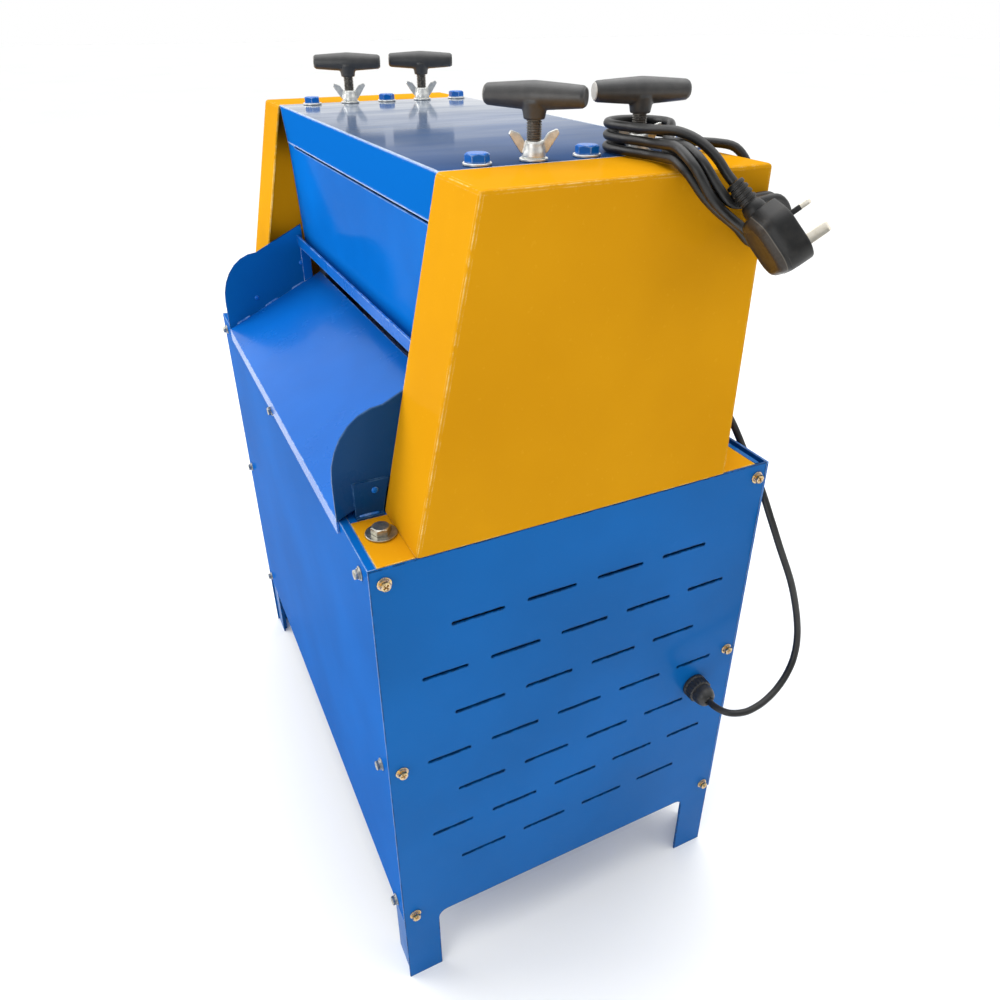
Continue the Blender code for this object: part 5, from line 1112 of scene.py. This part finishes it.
def makePanelScrews():
    yellow, bright = screwMesh(yellowZinc, "panelScrewYellow"), screwMesh(boltZinc, "panelScrewBright")
    made = []
    number = 0
    for sign in (1, -1):
        for y in panelScrew["sideY"]:
            for z in panelScrew["sideZ"]:
                number += 1
                turn = turnTo((sign, 0, 0)) @ Matrix.Rotation(math.radians(37 * number % 60), 4, "Z")
                made.append(placed(f"sideScrew{number}", yellow, (sign * 0.338, y, z), turn))
    for sign in (-1, 1):
        face = -0.198 if sign < 0 else 0.2003
        spots = [(x, z) for x in panelScrew["frontX"] for z in panelScrew["frontZ"]] + [panelScrew["middle"]]
        for x, z in spots:
            number += 1
            turn = turnTo((0, sign, 0)) @ Matrix.Rotation(math.radians(23 * number % 60), 4, "Z")
            made.append(placed(f"panelScrew{number}", bright if sign < 0 else yellow, (x, face, z), turn))
    for piece in made:
        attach(piece, "cabinet")


makePanelScrews()
print("panel screws done")

# Rivets on the tray's guards, and the weld runs that hold guards, bar and brackets

rivet = {
    "radius": 3.0 * millimetre, "high": 1.4 * millimetre, "guardFace": 0.2577,
    "guard": ((-0.095, 0.640), (-0.1595, 0.6005)), "bracket": (0.2617, -0.1655, 0.5847),
}
weld = {
    "radius": 1.5 * millimetre, "step": 2.2 * millimetre, "trayX": 0.2572, "trayY": (-0.190, -0.150, -0.112),
    "trayFoot": (-0.2003, 0.5636), "traySlope": 0.4834, "trayLong": 0.018, "bracketX": 0.2620,
    "bracketY": (-0.181, -0.163), "bracketZ": 0.5624, "housingX": (0.278, 0.302), "housingLong": 0.014,
    "housingY": 0.1487, "housingZ": 0.5608,
}


def domeRivet(name, place, way, material):
    r, h = rivet["radius"], rivet["high"]
    piece = lathe(
        name, [(0, h), (r * 0.45, h * 0.93), (r * 0.8, h * 0.62), (r, h * 0.12), (r, -0.0003), (0, -0.0003)], material,
        place, turnTo(way), 24,
    )
    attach(piece, "cabinet")


def weldBead(name, start, end, material, slotName="blue_paint"):
    # A short run of overlapping beads, painted over.
    start, end = Vector(start), Vector(end)
    count = max(2, round((end - start).length / weld["step"]))
    points, radii = [], []
    for n in range(count * 4 + 1):
        share = n / (count * 4)
        points.append(start.lerp(end, share))
        wobble = 0.78 + 0.22 * abs(math.sin(math.pi * n / 4))
        fade = min(1, share * count, (1 - share) * count)
        radii.append(weld["radius"] * wobble * max(0.25, fade ** 0.5))
    shape = bmesh.new()
    tubeAlong(shape, points, weld["radius"], 10, radii)
    piece = finished(name, shape, material, sharp=60)
    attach(piece, "cabinet")


def makeTrim():
    for side, sign in (("right", 1), ("left", -1)):
        for number, (y, z) in enumerate(rivet["guard"]):
            domeRivet(f"guardRivet_{side}_{number}", (sign * rivet["guardFace"], y, z), (-sign, 0, 0), blueEnamel)
        x, y, z = rivet["bracket"]
        domeRivet(f"bracketRivet_{side}", (sign * x, y, z), (sign, 0, 0), blueEnamel)
        footY, footZ = weld["trayFoot"]
        for number, y in enumerate(weld["trayY"]):
            x, z = sign * weld["trayX"], footZ + (y - footY) * weld["traySlope"]
            end = (x, y + weld["trayLong"], z + weld["trayLong"] * weld["traySlope"])
            weldBead(f"trayWeld_{side}_{number}", (x, y, z), end, blueEnamel)
        x, z = sign * weld["bracketX"], weld["bracketZ"]
        weldBead(f"bracketWeld_{side}", *[(x, y, z) for y in weld["bracketY"]], blueEnamel)
        y, z = weld["housingY"], weld["housingZ"]
        for number, x in enumerate(weld["housingX"]):
            end = (sign * (x + weld["housingLong"]), y, z)
            weldBead(f"housingWeld_{side}_{number}", (sign * x, y, z), end, yellowEnamel, "yellow_paint")


makeTrim()
print("trim done")

# Rollers, blades and their shafts

rollers = {
    "half": 0.228, "journal": 12.5 * millimetre, "lower": 32 * millimetre, "upper": 36 * millimetre,
    "teeth": 72, "tooth": 1.6 * millimetre, "left": -0.320, "right": 0.268, "shaft": 16 * millimetre,
    "blade": 12 * millimetre, "hub": 26 * millimetre, "edge": 0.5 * millimetre, "spread": 0.115,
    "lowerZ": 0.598, "upperZ": 0.671,
}


def toothedRoller(name, y, body, node):
    # Milled teeth along the whole face grip the insulation.
    shape = bmesh.new()
    steps = rollers["teeth"] * 4

    def toothed(reach, depth, at):
        points = []
        for i in range(steps):
            r = reach - (depth if i % 4 in (2, 3) else 0)
            angle = 2 * math.pi * i / steps
            points.append(Vector((r * math.cos(angle), r * math.sin(angle), at)))
        return points

    journal, half, lower, tooth = rollers["journal"], rollers["half"], rollers["lower"], rollers["tooth"]
    left, right = rollers["left"], rollers["right"]
    rings(shape, [
        toothed(journal * 0.9, 0, left), toothed(journal, 0, left + 0.001), toothed(journal, 0, -half),
        toothed(lower - 2 * tooth, 0, -half), toothed(lower, tooth, -half + 0.0015),
        toothed(lower, tooth, half - 0.0015),
        toothed(lower - 2 * tooth, 0, half), toothed(journal, 0, half), toothed(journal, 0, right - 0.001),
        toothed(journal * 0.9, 0, right),
    ])
    piece = finished(name, shape, rollerSteel, (0, y, rollers["lowerZ"]), alongX, 25)
    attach(piece, body)
    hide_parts(node)


def plainRoller(name, y, radius, body, node):
    journal, half, end = rollers["journal"], rollers["half"], rollers["right"]
    piece = lathe(name, [
        (0, -end), (journal * 0.9, -end), (journal, -end + 0.001), (journal, -half), (radius - 0.001, -half),
        (radius, -half + 0.001),
        (radius, half - 0.001), (radius - 0.001, half), (journal, half), (journal, end - 0.001), (journal * 0.9, end),
        (0, end),
    ], rollerSteel, (0, y, rollers["upperZ"]), alongX, 64)
    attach(piece, body)
    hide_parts(node)


def makeRollers():
    toothedRoller("frontDriveRoller", -0.011, "front_drive_roller", "front_lower_roller")
    toothedRoller("rearDriveRoller", 0.085, "rear_drive_roller", "rear_lower_roller")
    plainRoller("bladeShaft", -0.011, rollers["shaft"], "blade_rotor", "blade_shaft")
    plainRoller("pressRoller", 0.085, rollers["upper"], "press_roller", "rear_upper_roller")
    half, bore = rollers["blade"] / 2, rollers["shaft"] + 0.0003
    hub, rim, edge = rollers["hub"], rollers["upper"], rollers["edge"] / 2
    for side, sign in (("right", 1), ("left", -1)):
        piece = lathe(f"discBlade_{side}", [
            (bore, -half), (hub - 0.0005, -half), (hub, -half + 0.0005), (hub + 0.0012, -half * 0.62), (rim, -edge),
            (rim, edge), (hub + 0.0012, half * 0.62), (hub, half - 0.0005), (hub - 0.0005, half), (bore, half),
        ], bladeSteel, (sign * rollers["spread"], -0.011, rollers["upperZ"]), alongX, 96, True)
        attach(piece, "blade_rotor")
        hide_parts(f"{side}_blade")


makeRollers()
print("rollers done")

# Drive: roller chain round three sprockets, and the geared motor

chain = {
    "x": -0.300, "centres": ((-0.011, 0.598), (0.037, 0.235), (0.085, 0.598)), "radius": 24.5 * millimetre,
    "pitch": 12.7 * millimetre, "plate": 2.9 * millimetre, "roller": 2.2 * millimetre, "width": 6.8 * millimetre,
    "sheet": 1.0 * millimetre,
}
motor = {
    "centre": (0.037, 0.235), "left": -0.1497, "flange": 0.025, "end": 0.0553, "cowl": 0.050, "radius": 60 * millimetre,
    "step": 5 * millimetre, "fins": 40,
}


def chainLine():
    centres = [Vector(c) for c in chain["centres"]]
    reach = chain["radius"]
    points = []
    for i, centre in enumerate(centres):
        before, after = centre - centres[i - 1], centres[(i + 1) % 3] - centre
        start = math.atan2(-before.x, before.y)
        turn = (math.atan2(-after.x, after.y) - start) % (2 * math.pi)
        for n in range(25):
            angle = start + turn * n / 24
            points.append(Vector((centre.x + reach * math.cos(angle), centre.y + reach * math.sin(angle), 0)))
    points.append(points[0].copy())
    return points


def makeChain():
    line = chainLine()
    lengths = measured(line)
    count = round(lengths[-1] / chain["pitch"] / 2) * 2
    pivots = [along(line, lengths, lengths[-1] * n / count) for n in range(count)]
    shape = bmesh.new()
    half = chain["width"] / 2
    for n, pivot in enumerate(pivots):
        ahead = pivots[(n + 1) % count] - pivot
        angle = math.atan2(ahead.y, ahead.x)
        outer = n % 2 == 0
        for side in (-1, 1):
            level = side * (half - chain["sheet"] / 2 if outer else half - 1.7 * chain["sheet"])
            loop = []
            for end, centre in ((0, 1), (1, 0)):
                for k in range(5):
                    a = angle + math.pi / 2 + math.pi * end + math.pi * k / 4
                    spot = pivot + ahead * end
                    loop.append(spot + Vector((math.cos(a), math.sin(a), 0)) * chain["plate"])
            sheet = chain["sheet"] / 2
            rings(shape, [[point + Vector((0, 0, level + dz)) for point in loop] for dz in (-sheet, sheet)])
        spun(shape, [(0, -half), (0.0012, -half), (0.0012, half), (0, half)], 8, pivot)
        spun(shape, [(chain["roller"], -half * 0.55), (chain["roller"], half * 0.55)], 10, pivot)
    piece = finished("rollerChain", shape, blackOxide, (chain["x"], 0, 0), alongX)
    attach(piece, "cabinet")
    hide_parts("drive_chain")


def makeMotorFins():
    shape = bmesh.new()
    y, z = motor["centre"]
    low, high = motor["left"] + motor["flange"] + 0.004, motor["end"] - motor["cowl"] - 0.003
    inner, outer = motor["radius"] - motor["step"] - 0.0005, motor["radius"] - 0.0004
    for n in range(motor["fins"]):
        angle = 2 * math.pi * n / motor["fins"]
        if abs(math.cos(angle)) < 0.62 or math.sin(angle) < -0.35:
            continue
        out = Vector((0, math.cos(angle), math.sin(angle)))
        over = Vector((0, -math.sin(angle), math.cos(angle)))
        loops = []
        for x in (low, high):
            middle = Vector((x, y, z))
            loops.append([middle + out * r + over * s * w for r, s, w in (
                (inner, -1, 0.0014), (outer, -1, 0.0008), (outer, 1, 0.0008), (inner, 1, 0.0014),
            )])
        rings(shape, loops)
    piece = finished("motorFins", shape, greyEnamel)
    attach(piece, "cabinet")


makeChain()
makeMotorFins()
print("drive done")

# Switch on the left side

switchLook = {
    "face": -0.3583, "y": -0.110, "z": 0.480, "pitch": 0.040, "radius": 10 * millimetre, "proud": 7.5 * millimetre,
    "seat": 8 * millimetre, "collar": 13.5 * millimetre,
}


def makeSwitch():
    for name, rise, look in (("start", 1, greenAbs), ("stop", -1, redAbs)):
        place = (switchLook["face"], switchLook["y"], switchLook["z"] + rise * switchLook["pitch"] / 2)
        r, proud, seat = switchLook["radius"], switchLook["proud"], switchLook["seat"]
        cap = lathe(f"{name}Button", [
            (0, -seat), (r * 0.96, -seat), (r, -seat + 0.0005), (r, proud - 0.0016), (r - 0.0005, proud - 0.0006),
            (r - 0.0017, proud), (r * 0.6, proud - 0.0007), (0, proud - 0.0010),
        ], look, place, turnTo((-1, 0, 0)), 48)
        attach(cap, f"{name}_button_body")
        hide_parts(f"{name}_button")
        collar = lathe(f"{name}Collar", [
            (r + 0.0006, -0.0002), (switchLook["collar"], -0.0002), (switchLook["collar"], 0.0016),
            (switchLook["collar"] - 0.0012, 0.0026),
            (r + 0.0012, 0.0026), (r + 0.0006, 0.0020),
        ], brightZinc, place, turnTo((-1, 0, 0)), 48, True)
        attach(collar, "cabinet")


makeSwitch()
print("switch done")

# Sheet metal and castings keep the frame's shapes, with their finishes

finishes = (
    (sideEnamel, ("right_side_panel", "left_side_panel", "cabinet_frame", "left_tray_guard")),
    (topEnamel, ("top_plate",)),
    (frontEnamel, ("front_panel", "rear_panel")),
    (hoodEnamel, ("front_hood", "rear_hood")),
    # The right guard takes the darker copy of the blue enamel, a painted shade.
    (shadedGuardEnamel, ("right_tray_guard",)),
    (blueEnamel, ("feed_tray", "feed_guide_bar")),
    (yellowEnamel, ("right_housing", "left_housing")),
    (baseEnamel, ("base_plate",)),
    (castIron, (
        "right_bearing_frame", "left_bearing_frame", "front_right_bearing_block", "front_left_bearing_block",
        "rear_right_bearing_block", "rear_left_bearing_block",
    )),
    (greyEnamel, ("motor", "gearbox")),
    (blackOxide, ("front_sprocket", "rear_sprocket", "drive_sprocket")),
    (polyamide, ("switch_box",)),
)
for look, names in finishes:
    for name in names:
        mesh = nodes[name].data
        mesh.materials.clear()
        mesh.materials.append(look)
print("finishes done")

# Floor, lights and world

studio = {
    "floor": ("#F7F7F5", "#F4F4F2"), "floorSize": 60.0, "sky": ("#8E9298", "#FFFFFF"), "glow": (-0.88, 0.44, 0.16),
    "lights": (
        ("window", (-1.9, -2.9, 2.4), (0, 0, 0.6), 2.4, 70),
        ("ceiling", (-0.2, 0.3, 3.2), (0, 0, 0.5), 3.0, 50),
        ("fill", (2.3, 2.0, 1.9), (0.3, 0, 0.5), 1.4, 8),
        ("frontFill", (1.5, -2.1, 1.1), (-0.2, 0, 0.7), 1.2, 15),
    ),
    "overcast": 1.5, "inside": ((0.572, -0.270, 0.888), (-0.3355, -0.095, 0.720), 9, 15),
}


def makeStudio():
    shape = bmesh.new()
    half = studio["floorSize"] / 2
    shape.faces.new(
        [shape.verts.new((x, y, 0)) for x, y in ((-half, -half), (half, -half), (half, half), (-half, half))]
    )
    material, tree, shader = newMaterial("paleFloorPaint", Roughness=0.75)
    tone = spread(tree, noise(tree, 0.8, 2.0), 0.0, 1.0, 0.3, 0.7)
    tree.links.new(mixed(tree, tone, *studio["floor"]), shader.inputs["Base Color"])
    floor = finished("floor", shape, material)
    world = bpy.data.worlds.new("studio")
    scene.world = world
    world.use_nodes = True
    # White walls beyond the machine, and a dimmer room behind the camera.
    tree = world.node_tree
    way = add(tree, "ShaderNodeTexCoord")
    toGlow = add(
        tree, "ShaderNodeVectorMath", {0: way.outputs["Generated"], 1: studio["glow"]}, operation="DOT_PRODUCT",
    )
    bright = spread(tree, toGlow.outputs["Value"], 0.0, 1.0, -0.15, 0.55)
    sky = mixed(tree, bright, *studio["sky"])
    background = tree.nodes["Background"]
    tree.links.new(sky, background.inputs["Color"])
    background.inputs["Strength"].default_value = 1.0
    for name, place, target, size, power in studio["lights"]:
        data = bpy.data.lights.new(name, "AREA")
        data.shape = "SQUARE"
        data.size = size
        data.energy = power
        lamp = bpy.data.objects.new(name, data)
        lamp.matrix_world = Matrix.Translation(place) @ turnTo(Vector(place) - Vector(target))
        lamp.visible_camera = False
        scene.collection.objects.link(lamp)
    # An even light from straight above keeps the floor pale as far as it is seen.
    data = bpy.data.lights.new("overcast", "SUN")
    data.energy = studio["overcast"]
    data.angle = math.radians(120)
    lamp = bpy.data.objects.new("overcast", data)
    lamp.location = (0, 0, 4)
    scene.collection.objects.link(lamp)
    # A narrow soft lamp beside the camera reaches into the open left housing.
    place, target, cone, power = studio["inside"]
    data = bpy.data.lights.new("inside", "SPOT")
    data.energy = power
    data.spot_size = math.radians(cone)
    data.spot_blend = 0.8
    data.shadow_soft_size = 0.02
    lamp = bpy.data.objects.new("inside", data)
    lamp.matrix_world = Matrix.Translation(place) @ turnTo(Vector(place) - Vector(target))
    lamp.visible_camera = False
    scene.collection.objects.link(lamp)
    scene.view_settings.view_transform = "Standard"


makeStudio()
print("studio done")
